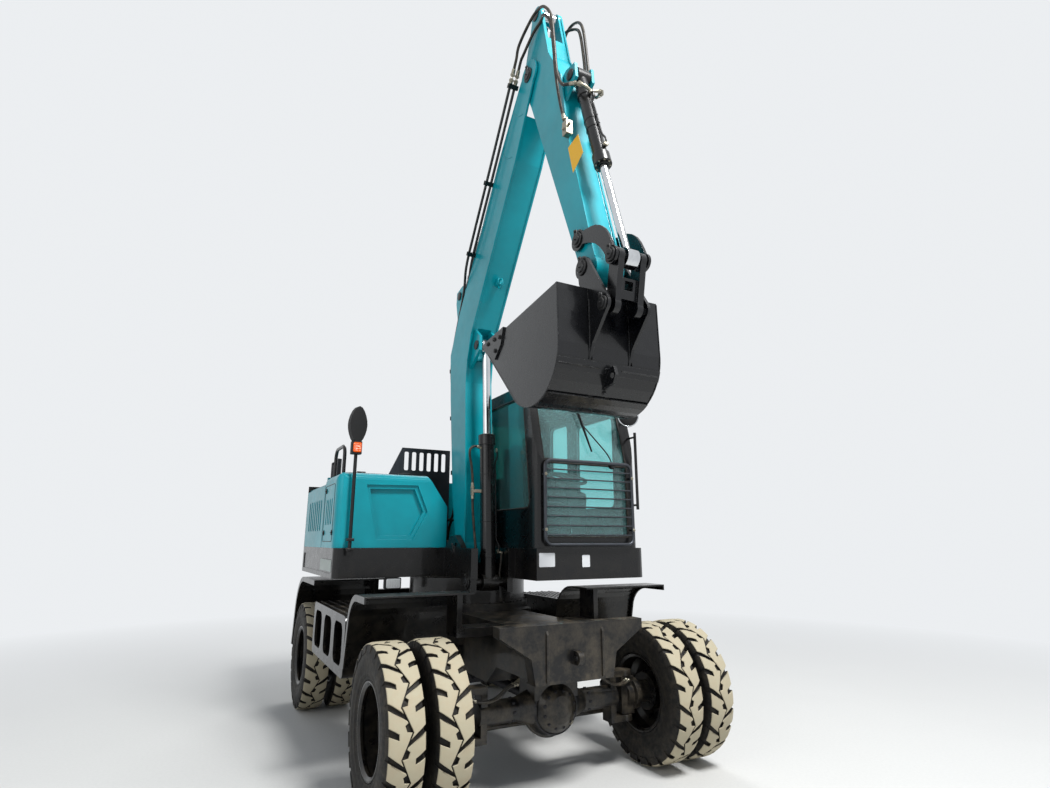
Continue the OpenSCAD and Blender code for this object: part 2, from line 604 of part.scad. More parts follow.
module controls() {
    wheel_at = [cab_mid, cab_y0 + 350, cab_floor + 570];
    color(black) {
        side_plate(cab_mid - 55, cab_mid + 55) polygon([
            [cab_y0 + 200, cab_floor], [cab_y0 + 380, cab_floor], [cab_y0 + 340, cab_floor + 200],
            [cab_y0 + 370, cab_floor + 560], [cab_y0 + 300, cab_floor + 560],
                [cab_y0 + 230, cab_floor + 200]]);
        translate(wheel_at) rotate([20, 0, 0]) {
            rotate_extrude($fn = 48) translate([170, 0]) circle(r = 16, $fn = 8);
            for (a = [0, 120, 240]) rotate([0, 0, a]) block([0, -14, -10], [160, 14, 6]);
            translate([0, 0, -30]) cylinder(r = 45, h = 40, $fn = 24);
        }
        // Consoles beside the seat with their levers
        for (s = [-1, 1]) {
            side_plate(cab_mid + s * 335 - 65, cab_mid + s * 335 + 65) polygon(concat(
                [[cab_y0 + 1150, cab_floor], [cab_y0 + 1150, cab_floor + 480]],
                arc([cab_y0 + 700, cab_floor + 420], 60, 90, 180, 4), [[cab_y0 + 700, cab_floor]]));
            translate([cab_mid + s * 335, cab_y0 + 720, cab_floor + 440]) cylinder(r = 12, h = 130, $fn = 24);
            translate([cab_mid + s * 335, cab_y0 + 720, cab_floor + 560]) cylinder(r = 26, h = 110, $fn = 24);
        }
    }
}

module engine() { color(grey)
    block([-500, hood_y[0] + 120, deck_z + seat_gap], [500, hood_y[1] - 60, cover_z - 180]); }
// The tail is an arc through the deck's rear corners
tail_r = (pow(upper_x + 2, 2) + pow(tail_l, 2)) / (2 * tail_l);
module counterweight() {
    top = cover_z - 10;
    front = tail_y - tail_l + seat_gap;
    color(teal) {
        intersection() {
            side_plate(-upper_x, upper_x) polygon(concat([[front, skirt_low], [tail_y - 130, skirt_low]],
                arc([tail_y - 100, skirt_low + 100], 100, 290, 360, 4),
                    arc([tail_y - 160, top - 160], 160, 0, 90, 6), [[front, top]]));
            translate([0, tail_y - tail_r, 0]) cylinder(r = tail_r, h = 2 * cover_z, $fn = 96);
        }
        // Lifting eyes
        for (s = [-1, 1]) side_plate(s * 620 - 15, s * 620 + 15) difference() {
            union() {
                translate([front + 100, top - 60]) square([110, 80]);
                spot([front + 155, top + 20], 55);
            }
            spot([front + 155, top + 25], 25);
        }
    }
}
module engine_housing() {
    strip_x = -upper_x + 320;
    slits = floor((hood_y[1] - hood_y[0] - 200) / 110);
    color(teal) {
        difference() {
            block([-upper_x, hood_y[0], deck_z + seat_gap], [upper_x, hood_y[1], cover_z - 80]);
            block([-upper_x + wall_t, hood_y[0] + wall_t, deck_z - 10],
                [upper_x - wall_t, hood_y[1] - wall_t, cover_z]);
            block([upper_x - 100, hood_y[0] + 80, deck_z + 60],
                [upper_x + 50, hood_y[1] - 60, cover_z - 150]);
            // Air grille in the right-hand wall
            for (i = [0:slits - 1]) side_plate(-upper_x - 1, -upper_x + 100)
                polygon(round_box([hood_y[0] + 110 + i * 110, deck_z + 150],
                    [hood_y[0] + 160 + i * 110, cover_z - 200], 22, 3));
        }
        block([-upper_x + 20, hood_y[0], cover_z - 81], [upper_x - 20, hood_y[0] + wall_t, cover_z]);
        // Fixed strip beside the hood, for the exhaust
        block([-upper_x + 20, hood_y[0] + wall_t - 1, cover_z - 100], [strip_x, hood_y[1], cover_z - 60]);
        for (z = side_hinges) hinge_fixed(upper_x + hinge_off, hood_y[1] - 60 - clear, z);
        for (x = hood_hinges) for (k = [-1, 1])
            translate([x + k * hinge_l + 1 - hinge_l / 2, hood_pin[0], hood_pin[1]]) {
            rotate([0, 90, 0]) cylinder(r = hinge_r, h = hinge_l - 2, $fn = 32);
            translate([0, -4, -hinge_r - 6]) cube([hinge_l - 2, 8, 8]);
        }
        for (x = hood_hinges) rod_x(hood_pin, hinge_pin_r, x - hinge_l * 1.4, x + hinge_l * 1.4);
    }
}
module hood() {
    lo = [-upper_x + 320 + clear, hood_y[0] + wall_t + clear];
    color(teal) {
        plan_plate(cover_z - 80 + seat_gap, cover_z)
            polygon(round_box(lo, [upper_x - 20, hood_y[1] - 5], 40));
        for (x = hood_hinges) translate([x - hinge_l / 2 + 1, hood_pin[0], hood_pin[1]]) difference() {
            union() {
                rotate([0, 90, 0]) cylinder(r = hinge_r, h = hinge_l - 2, $fn = 32);
                translate([0, 3, -hinge_r]) cube([hinge_l - 2, 8, 6]);
                translate([0, 9, -13]) cube([hinge_l - 2, 30, 8]);
                translate([0, 32, -16]) cube([hinge_l - 2, 58, 11]);
            }
            translate([-1, 0, 0]) rotate([0, 90, 0])
                cylinder(r = hinge_pin_r + pin_gap, h = hinge_l, $fn = 32);
        }
    }
}
module side_door() {
    y = [hood_y[0] + 80 + clear, hood_y[1] - 60 - clear];
    z = [deck_z + 60 + clear, cover_z - 150 - clear];
    slits = floor((y[1] - y[0] - 110) / 100);
    color(teal) {
        difference() {
            block([upper_x - wall_t, y[0], z[0]], [upper_x, y[1], z[1]]);
            for (i = [0:slits - 1]) side_plate(upper_x - wall_t - 1, upper_x + 1)
                polygon(round_box([y[0] + 60 + i * 100, z[0] + 90], [y[0] + 105 + i * 100, z[1] - 90], 20,
                    3));
        }
        for (z = side_hinges) hinge_moving(upper_x + hinge_off, y[1], z);
    }
}
// Cover at the right front: a face with a cut-off inner corner, a round outer edge and a sunk panel
module right_box() {
    x1 = boom_x - boom_w / 2 - 45;
    z0 = deck_z + seat_gap;
    y1 = hood_y[0] - 20;
    color(teal) difference() {
        intersection() {
            front_plate(cover_y, y1)
                polygon(concat([[-upper_x, z0], [x1, z0], [x1, cover_z - 280], [x1 - 195, cover_z]],
                arc([-upper_x + 70, cover_z - 70], 70, 90, 180, 4)));
            plan_plate(z0 - 1, cover_z + 1) polygon(concat([[x1, cover_y], [x1, y1], [-upper_x, y1]],
                arc([-upper_x + 90, cover_y + 90], 90, 180, 270, 6)));
            side_plate(-upper_x - 1, x1 + 1) polygon(concat([[cover_y, z0], [y1, z0], [y1, cover_z]],
                arc([cover_y + 60, cover_z - 60], 60, 90, 180, 4)));
        }
        for (k = [[0, 20], [35, 55]]) front_plate(cover_y - 1, cover_y + k[1]) polygon([
            [-1000 + k[0], 2075 - k[0]], [-530 - k[0] * 0.7, 2085 - k[0]], [-430 - k[0], 1850],
            [-560 - k[0] * 0.5, 1600 + k[0]], [-890 + k[0] * 0.5, 1600 + k[0]]]);
        // Air slots in the side
        for (i = [0:3]) side_plate(-upper_x - 1, -upper_x + 14)
            polygon(round_box([cover_y + 200 + i * 80, deck_z + 200], [cover_y + 235 + i * 80, cover_z - 220],
                16, 3));
    }
}
// Slotted plate beside the boom, and the bar guard in front of the lower windscreen
module guard() {
    plate_y = hood_y[0] - 15;
    x0 = -650;
    x1 = cab_x0 - 145;
    top = 2520;
    pitch = (x1 - x0 - 170) / guard_slots;
    bars = [cab_x0 + 60, cab_x1 - 90];
    bars_z = [deck_z + 30, screen_z];
    bars_y = cab_y0 - 42;
    color(black) {
        front_plate(plate_y, plate_y + 10) difference() {
            polygon([[x0 + 90, deck_z + seat_gap], [x1, deck_z + seat_gap], [x1, top], [x0 + 130, top],
                [x0, cover_z + 60], [x0, cover_z - 60], [x0 + 90, cover_z - 60]]);
            for (i = [0:guard_slots - 1])
                polygon(round_box([x0 + 155 + i * pitch, top - 230], [x0 + 120 + (i + 1) * pitch, top - 40],
                14, 3));
        }
        for (x = bars) translate([x, bars_y, bars_z[0] + 60])
            cylinder(r = 14, h = bars_z[1] - bars_z[0] - 120, $fn = 24);
        for (z = bars_z) rod_x([bars_y, z], 14, bars[0] + 60, bars[1] - 60);
        for (k = [[bars[0] + 60, bars_z[1] - 60, 90], [bars[1] - 60, bars_z[1] - 60, 0],
            [bars[0] + 60, bars_z[0] + 60, 180], [bars[1] - 60, bars_z[0] + 60, 270]])
            translate([k[0], bars_y, k[1]]) rotate([90, 0, 0]) rotate([0, 0, k[2]]) quarter_tube(60, 14);
        for (i = [1:bar_count - 1])
            rod_x([bars_y, mix(bars_z[0], bars_z[1], i / bar_count)], 6, bars[0] + 5, bars[1] - 5);
        for (x = bars) for (z = [bars_z[0] + 120, bars_z[1] - 120])
            translate([x, bars_y, z]) rotate([-90, 0, 0])
                cylinder(r = 9, h = cab_y0 - bars_y - seat_gap, $fn = 24);
    }
}
module handrails() {
    grip_z = [deck_z + 330, deck_z + 1020];
    color(black) {
        rail(-upper_x + 60, 60, 460, cover_z + seat_gap, cover_z + 250, 16, 90);
        // Grab rail in front of the cab's left pillar
        translate([cab_x1 - 30, cab_y0 - 45, grip_z[0]])
            cylinder(r = 13, h = grip_z[1] - grip_z[0], $fn = 24);
        for (z = [grip_z[0] + 40, grip_z[1] - 40]) translate([cab_x1 - 30, cab_y0 - 45, z])
            rotate([-90, 0, 0])
            cylinder(r = 9, h = front_at(z - 9, 39) - cab_y0 + 45 - seat_gap, $fn = 24);
    }
}
// Mirrors: an oval head on a stalk before the right cover, and a round one at the cab's left pillar
module mirrors() {
    x = -upper_x + 120;
    y = cover_y - 62;
    head_z = 2590;
    arm_y = cab_y0 - 60;
    arm_z = cab_top - 262;
    color(black) {
        block([x - 25, y - 20, deck_z - 60], [x + 25, cover_y - 20 - seat_gap, deck_z - 20]);
        translate([x, y, deck_z - 60]) cylinder(r = 15, h = 2460 - deck_z + 60, $fn = 24);
        translate([x, y, head_z]) rotate([0, 0, 12]) front_plate(-28, 28)
            polygon([for (i = [0:19]) [80 * cos(i * 18), 150 * sin(i * 18) * (1 - 0.12 * cos(i * 36))]]);
        translate([x - 45, y - 45, 2330]) plan_plate(0, 110) polygon(round_box([0, 0], [90, 90], 20, 2));
        translate([cab_x1 - 120, arm_y - 10, arm_z]) rotate([90, 0, -25])
            cylinder(r = 95, h = 35, center = true, $fn = 40);
        rod_x([arm_y, arm_z], 13, cab_x1 - 120, cab_x1 - 40);
        translate([cab_x1 - 40, arm_y, arm_z]) rotate([-90, 0, 0])
            cylinder(r = 13, h = front_at(arm_z - 13, 40) - arm_y - seat_gap, $fn = 24);
    }
}
module exhaust() {
    at = [-upper_x + 170, hood_y[0] + 440, cover_z - 60 + seat_gap];
    color(grey) translate(at) difference() {
        union() {
            cylinder(r = 50, h = 300, $fn = 32);
            cylinder(r = 66, h = 14, $fn = 32);
        }
        translate([0, 0, 60]) cylinder(r = 44, h = 300, $fn = 32);
        translate([-100, 0, 300]) rotate([35, 0, 0]) cube([200, 200, 100], center = true);
    }
}
// Lamps: one under the deck's right front and two on the tail
module lamps() {
    tail_x = 1000;
    tail_face = tail_y - tail_r + sqrt(tail_r * tail_r - tail_x * tail_x);
    color(steel) {
        front_plate(cover_y - 70, cover_y - 10)
            polygon(round_box([-upper_x + 440, skirt_low - 95], [-upper_x + 580, skirt_low - seat_gap], 12,
                2));
        for (s = [-1, 1]) translate([s * tail_x, tail_face, skirt_low + 180])
            rotate([0, 0, -s * asin(tail_x / tail_r)])
            block([-70, seat_gap, -40], [70, 22, 40]);
    }
}

// Barrel of a cylinder from its base pin towards its eye, and the rod with its eye
module barrel(a, b, r, l, w) {
    difference() {
        union() {
            rod_x(a, boss_r, boom_x - w / 2, boom_x + w / 2);
            along_line(a, b) {
                translate([0, 0, 30]) cylinder(r = r, h = l - 30, $fn = 48);
                translate([0, 0, l - 90]) cylinder(r = r + 12, h = 90, $fn = 48);
                translate([0, 0, 200]) cylinder(r = r + 6, h = 30, $fn = 48);
                // Port and the pipe along the barrel
                for (z = [250, l - 130]) translate([0, 0, z]) rotate([-90, 0, 0])
                    cylinder(r = 16, h = r + 26, $fn = 24);
            }
        }
        rod_x(a, pin_r, boom_x - 300, boom_x + 300);
        along_line(a, b) translate([0, 0, 125]) cylinder(r = r * 0.56, h = l, $fn = 48);
    }
}
module rod(a, b, r, l, w) {
    along_line(a, b) translate([0, 0, l - 70])
        cylinder(r = r * 0.56 - pin_gap, h = norm(b - a) - l + 60, $fn = 48);
    rod_x(b, boss_r - 5, boom_x - w / 2, boom_x + w / 2);
}

// Side outline of the boom: its plates stand proud of the belly and the back by t
function boom_line(t) = [
    along(foot, bend, 0, 90 - t), along(foot, bend, 500, 132 - t), along(foot, bend, 1550, 158 - t),
    along(foot, bend, 1750, 200 - t), along(tip, bend, 2300, t - 190), along(tip, bend, 700, t - 190),
    along(tip, bend, 60, t - 130), along(tip, bend, 60, 130 - t), along(tip, bend, 700, 190 - t),
    along(tip, bend, 2250, 230 - t), along(foot, bend, 1950, t - 230), along(foot, bend, 1500, t - 230),
    along(foot, bend, 500, t - 180), along(foot, bend, 0, t - 90)];
module boom() {
    half = boom_w / 2;
    slot = arm_w / 2 + 5;
    color(teal) difference() {
        union() {
            side_plate(boom_x - half + 1, boom_x + half - 1) polygon(boom_line(12));
            twin_plates(half - plate_t, half) polygon(boom_line(0));
            rod_x(foot, 110, boom_x - half, boom_x + half);
            // Cheeks of the fork that holds the arm
            twin_plates(slot, half)
                polygon([along(tip, bend, 0, -120), along(tip, bend, 500, -165), along(tip, bend, 640, -150),
                along(tip, bend, 640, 150), along(tip, bend, 500, 165), along(tip, bend, 0, 120)]);
            rod_x(tip, 130, boom_x - half, boom_x + half);
            // Rings round the foot's pin and round the fork's
            for (p = [foot, tip]) rod_x(p, 62, boom_x - half - 2, boom_x + half + 2);
        }
        rod_x(foot, pin_r, boom_x - 300, boom_x + 300);
        block([boom_x - slot, tip[0] - 300, tip[1] - 350], [boom_x + slot, tip[0] + 300, tip[1] + 400]);
        rod_x(boom_eye, boss_r + 115, boom_x - 66, boom_x + 66);
    }
    color(teal) {
        rod_x(tip, pin_r - pin_gap, boom_x - half, boom_x + half);
        // Lugs for the boom cylinder's eye and for the arm cylinder's base
        twin_plates(67, 97)
            polygon([boom_eye + [-60, 80], boom_eye + [220, 300], boom_eye + [250, -250],
            boom_eye + [-60, -60]]);
        twin_plates(66, 92)
            polygon([arm_base + [80, 60], arm_base + [-70, 90], arm_base + [-330, -150], arm_base + [0, -420],
            arm_base + [90, -60]]);
        rod_x(arm_base, pin_r - pin_gap, boom_x - 92, boom_x + 92);
    }
}
module boom_barrel() { color(black) barrel(boom_base, boom_eye, boom_barrel_d / 2, 1270, 140); }
module boom_rod() { color(steel) rod(boom_base, boom_eye, boom_barrel_d / 2, 1270, 120); }

// Side outline of the arm, whose plates stand proud of the top and the underside by t
function arm_line(t) = [
    arm_eye + [60 - t, 20], tip + [150 - t, 0], along(tip, wrist, 300, 105 - t),
        along(tip, wrist, 2250, 80 - t),
    along(tip, wrist, 2250, t - 90), along(tip, wrist, 1100, t - 200), along(tip, wrist, 500, t - 330),
    along(tip, wrist, 100, t - 280), arm_eye + [t - 80, 0]];
module arm() {
    half = arm_w / 2;
    color(teal) difference() {
        union() {
            side_plate(boom_x - half + 1, boom_x + half - 1) polygon(arm_line(12));
            twin_plates(half - plate_t, half) polygon(arm_line(0));
            rod_x(arm_eye, 75, boom_x - half, boom_x + half);
            rod_x(wrist, 95, boom_x - half, boom_x + half);
        }
        for (p = [tip, wrist, rocker_pin]) rod_x(p, pin_r, boom_x - 300, boom_x + 300);
        block([boom_x - 72, arm_eye[0] - 300, arm_eye[1] - 330],
            [boom_x + 72, arm_eye[0] + 400, arm_eye[1] + 300]);
    }
    color(teal) {
        twin_plates(63, 87) polygon([curl_base + [-70, -60], curl_base + [-60, 70], curl_base + [60, 90],
            curl_base + [330, 0], curl_base + [220, -260]]);
        rod_x(curl_base, pin_r - pin_gap, boom_x - 87, boom_x + 87);
    }
}
module arm_barrel() { color(black) barrel(arm_base, arm_eye, arm_barrel_d / 2, 1500, 110); }
module arm_rod() { color(steel) rod(arm_base, arm_eye, arm_barrel_d / 2, 1500, 110); }
module bucket_barrel() { color(black) barrel(curl_base, link_pin, bucket_barrel_d / 2, 950, 110); }
module bucket_rod() { color(steel) rod(curl_base, link_pin, bucket_barrel_d / 2, 950, 90); }

// Crescent plates that arch over the arm's end
module rocker() {
    l = norm(link_pin - rocker_pin);
    n = 8;
    color(black) {
        twin_plates(rocker_in, rocker_in + rocker_t) {
            polygon(concat(
                [for (i = [0:n]) along(rocker_pin, link_pin, l * i / n, -50 - 95 * sin(180 * i / n))],
                [for (i = [n:-1:0]) along(rocker_pin, link_pin, l * i / n, 45 - 70 * sin(180 * i / n))]));
            spot(rocker_pin, 75);
            spot(link_pin, 60);
        }
        rod_x(rocker_pin, pin_r - pin_gap, boom_x - rocker_in - rocker_t, boom_x + rocker_in + rocker_t);
        rod_x(link_pin, link_pin_r, boom_x + 55, boom_x + rocker_in + rocker_t);
        rod_x(link_pin, link_pin_r, boom_x - rocker_in - rocker_t, boom_x - 55);
    }
}
// Link of two plates with a web between them, which has a square hole
module link() {
    l = norm(bucket_pin - link_pin);
    half = 108;
    color(black) difference() {
        union() {
            twin_plates(64, half) {
                polygon([along(link_pin, bucket_pin, 0, 50), along(link_pin, bucket_pin, l, 50),
                    along(link_pin, bucket_pin, l, -50), along(link_pin, bucket_pin, 0, -50)]);
                spot(link_pin, 55);
                spot(bucket_pin, 55);
            }
            side_plate(boom_x - 65, boom_x + 65)
                polygon([along(link_pin, bucket_pin, 135, 30), along(link_pin, bucket_pin, l - 45, 30),
                along(link_pin, bucket_pin, l - 45, -30), along(link_pin, bucket_pin, 135, -30)]);
        }
        side_plate(boom_x - 32, boom_x + 32)
            polygon([along(link_pin, bucket_pin, 153, 60), along(link_pin, bucket_pin, 213, 60),
            along(link_pin, bucket_pin, 213, -60), along(link_pin, bucket_pin, 153, -60)]);
        rod_x(link_pin, link_pin_r + pin_gap, boom_x - 300, boom_x + 300);
    }
}

// Side outline of the bucket: straight back, round heel and straight floor up to the lip
heel = [-2100, 2790];
heel_r = 350;
lip = [-1330, 3060];
mouth = [-2440, 3180];
function bucket_line(t) = concat([mouth + [t, 0]], arc(heel, heel_r - t, 180, 314, 10),
    [lip + [-0.7, 0.72] * t]);
module bucket() {
    half = bucket_w / 2;
    edge_t = 20;
    step = (bucket_w - 130) / (tooth_count - 1);
    color(black) {
        side_plate(boom_x - half, boom_x + half)
            polygon(concat(bucket_line(0), reversed(bucket_line(shell_t))));
        twin_plates(half - edge_t, half) polygon(bucket_line(0));
        // Wear bands over the heel
        for (a = [[196, 208], [236, 262]]) side_plate(boom_x - half, boom_x + half)
            polygon(concat(arc(heel, heel_r + 9, a[0], a[1], 3),
                reversed(arc(heel, heel_r - 4, a[0], a[1], 3))));
        // Side cutters
        twin_plates(half - edge_t, half + 14)
            polygon([[-1400, 2992], lip + [8, 12], [-1420, 3085], [-1560, 3100], [-1700, 3114], [-1660, 2990],
            [-1560, 2900]]);
        twin_plates(ear_in, ear_in + ear_t) {
            polygon(concat([wrist + [60, 50], wrist + [-60, 50]],
                [bucket_pin + [-45, 40], bucket_pin + [-58, 0], bucket_pin + [-40, -40]],
                [[-2478, 2800], [-2428, 2680], [-2440, 2800], [-2430, 3120], wrist + [40, -110]]));
            spot(wrist, 78);
            spot(bucket_pin, 58);
        }
        rod_x(wrist, pin_r - pin_gap, boom_x - ear_in - ear_t, boom_x + ear_in + ear_t);
        rod_x(bucket_pin, link_pin_r, boom_x - ear_in - ear_t - 10, boom_x - ear_in + 20);
        rod_x(bucket_pin, link_pin_r, boom_x + ear_in - 20, boom_x + ear_in + ear_t + 10);
        // Lifting eye on the back
        difference() {
            side_plate(boom_x - 12, boom_x + 12)
                polygon([[-2405, 2660], [-2480, 2670], [-2500, 2610], [-2470, 2560], [-2330, 2540]]);
            rod_x([-2462, 2610], 20, boom_x - 20, boom_x + 20);
        }
        // Teeth on their adapters along the lip
        for (i = [0:tooth_count - 1]) {
            x = boom_x - half + 65 + i * step;
            side_plate(x - 32, x + 32)
                polygon([[-1500, 2875], [-1440, 2905], [-1345, 3010], [-1300, 3075], [-1318, 3090],
                [-1450, 2975], [-1520, 2905]]);
            side_plate(x - 24, x + 24) polygon([[-1330, 3035], [-1240, 3150], [-1248, 3160], [-1345, 3080]]);
        }
    }
}

module placed() { translate([0, swing_y, 0]) children(); }
placed() chassis_frame();
placed() axle_front();
placed() axle_rear();
placed() driveline();
placed() fenders();
placed() side_boxes();
placed() knuckle_left();
placed() knuckle_right();
placed() tie_rod();
placed() tyres_front_left();
placed() tyres_front_right();
placed() tyres_rear_left();
placed() tyres_rear_right();
placed() rims_front_left();
placed() rims_front_right();
placed() rims_rear_left();
placed() rims_rear_right();
placed() platform();
placed() cab_shell();
placed() cab_glass();
placed() seat();
placed() controls();
placed() engine();
placed() counterweight();
placed() engine_housing();
placed() right_box();
placed() guard();
placed() handrails();
placed() mirrors();
placed() exhaust();
placed() lamps();
placed() cab_door();
placed() door_glass();
placed() hood();
placed() side_door();
placed() boom();
placed() boom_barrel();
placed() boom_rod();
placed() arm();
placed() arm_barrel();
placed() arm_rod();
placed() bucket_barrel();
placed() bucket_rod();
placed() rocker();
placed() link();
placed() bucket();
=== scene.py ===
"""Wheeled excavator: finishes, tread, hoses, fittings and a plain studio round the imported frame."""

import json
from math import asin, copysign, cos, exp, pi, radians, sin, sqrt

import bmesh
import bpy
from mathutils import Matrix, Vector


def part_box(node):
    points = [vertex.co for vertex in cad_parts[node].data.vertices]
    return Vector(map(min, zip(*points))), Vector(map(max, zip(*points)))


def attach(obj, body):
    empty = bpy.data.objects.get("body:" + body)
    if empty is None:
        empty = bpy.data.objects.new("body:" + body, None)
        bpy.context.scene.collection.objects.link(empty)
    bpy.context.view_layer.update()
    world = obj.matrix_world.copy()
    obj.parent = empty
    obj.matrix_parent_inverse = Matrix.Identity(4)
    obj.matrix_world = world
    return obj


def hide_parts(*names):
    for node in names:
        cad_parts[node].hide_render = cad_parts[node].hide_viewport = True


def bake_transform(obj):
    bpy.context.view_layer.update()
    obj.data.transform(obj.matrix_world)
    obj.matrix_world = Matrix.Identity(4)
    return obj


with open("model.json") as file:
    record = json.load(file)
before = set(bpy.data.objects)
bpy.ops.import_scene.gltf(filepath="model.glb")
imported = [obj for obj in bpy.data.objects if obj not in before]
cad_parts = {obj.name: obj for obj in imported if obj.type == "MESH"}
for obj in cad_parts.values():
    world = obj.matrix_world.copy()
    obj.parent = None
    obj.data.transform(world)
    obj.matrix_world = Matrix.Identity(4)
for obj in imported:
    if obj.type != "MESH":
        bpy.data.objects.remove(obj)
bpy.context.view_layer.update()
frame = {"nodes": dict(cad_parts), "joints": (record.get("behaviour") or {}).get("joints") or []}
nodes = frame["nodes"]

# Camera: stands at the machine's front right and looks a little up, as in the photograph.
# The photograph's frame is 1050 by 788 pixels, and its focal length in pixels is FOCAL.
FRAME_W = 1050
FOCAL = 600
SENSOR = 36
CAMERA_AT = (-2.28, -5.078, 1.595)
CAMERA_YAW = 28.0
CAMERA_PITCH = 13.7


def add_object(name, data):
    """A new object in the scene."""
    made = bpy.data.objects.new(name, data)
    bpy.context.scene.collection.objects.link(made)
    return made


def add_camera():
    data = bpy.data.cameras.new("camera")
    data.sensor_width = SENSOR
    data.lens = SENSOR * FOCAL / FRAME_W
    data.clip_end = 200
    camera = add_object("camera", data)
    camera.location = CAMERA_AT
    camera.rotation_euler = (radians(90 + CAMERA_PITCH), 0, radians(-CAMERA_YAW))
    bpy.context.scene.camera = camera


add_camera()


def vec(x, y, z):
    return Vector((x, y, z))


# Places that the pieces share, in metres
X, Y, Z = vec(1, 0, 0), vec(0, 1, 0), vec(0, 0, 1)
PIVOT = {joint["name"]: Vector(joint["pos_m"]) for joint in frame["joints"] if joint.get("pos_m")}
FOOT, TIP, WRIST = PIVOT["boom_lift"], PIVOT["arm_swing"], PIVOT["bucket_curl"]
BOOM_BASE, ARM_BASE = PIVOT["boom_barrel_tilt"], PIVOT["arm_barrel_tilt"]
CURL_BASE, ROCKER_PIN, LINK_PIN = (
    PIVOT["bucket_barrel_tilt"], PIVOT["rocker_turn"], PIVOT["link_turn"])
BEND = vec(FOOT.x, 0.232, 3.42)
BOOM_EYE = vec(FOOT.x, -0.118, 3.38)
ARM_EYE = vec(FOOT.x, -1.315, 6.051)
BUCKET_PIN = vec(FOOT.x, -2.238, 3.02)
BOOM_SIDE, ARM_SIDE = 0.135, 0.110
AXLES = {"front": PIVOT["wheel_front_left_spin"].y, "rear": PIVOT["wheel_rear_left_spin"].y}
AXLE_Z = PIVOT["wheel_front_left_spin"].z
SIDES = (("left", 1), ("right", -1))
WHEELS = [(f"{end}_{side}", sign, y) for end, y in AXLES.items() for side, sign in SIDES]
DECK_Z = 1.530
COVER_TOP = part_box("right_box")[1].z
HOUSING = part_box("engine_housing")[0]


def run(a, b):
    """Gives a point for a distance along the line from a to b, one to its left, and a place across."""
    ahead = (b - a).normalized()
    left = vec(0, -ahead.z, ahead.y)
    return lambda along, off, x: vec(x, *(a + ahead * along + left * off).yz)


def ways(place):
    """The directions along and to the left of such a line."""
    return place(1, 0, 0) - place(0, 0, 0), place(0, 1, 0) - place(0, 0, 0)


on_leg, on_boom, on_arm = run(FOOT, BEND), run(TIP, BEND), run(TIP, WRIST)


# Shapes
def circle(count, start=0):
    """Angles in equal steps once round."""
    return [2 * pi * (i + start) / count for i in range(count)]


def arc(centre, r, a0, a1, steps):
    """Points on a flat arc, from the angle a0 to a1 in degrees."""
    angles = [radians(a0 + (a1 - a0) * i / steps) for i in range(steps + 1)]
    return [(centre[0] + r * cos(a), centre[1] + r * sin(a)) for a in angles]


def round_box(lo, hi, r, steps=4):
    """Outline of a rectangle with round corners."""
    (x0, y0), (x1, y1) = lo, hi
    centres = ((x1 - r, y1 - r), (x0 + r, y1 - r), (x0 + r, y0 + r), (x1 - r, y0 + r))
    return [p for k, centre in enumerate(centres) for p in arc(centre, r, 90 * k, 90 * k + 90, steps)]


def smooth_line(points, steps=7):
    """A curve through the points."""
    points = [Vector(p) for p in points]
    last = len(points) - 1
    line = []
    for i in range(last):
        p0, p1, p2, p3 = (points[min(max(i + k, 0), last)] for k in (-1, 0, 1, 2))
        for t in (j / steps for j in range(steps)):
            line.append(0.5 * (2 * p1 + (p2 - p0) * t + (2 * p0 - 5 * p1 + 4 * p2 - p3) * t * t
                               + (3 * p1 - p0 - 3 * p2 + p3) * t ** 3))
    return line + [points[-1]]


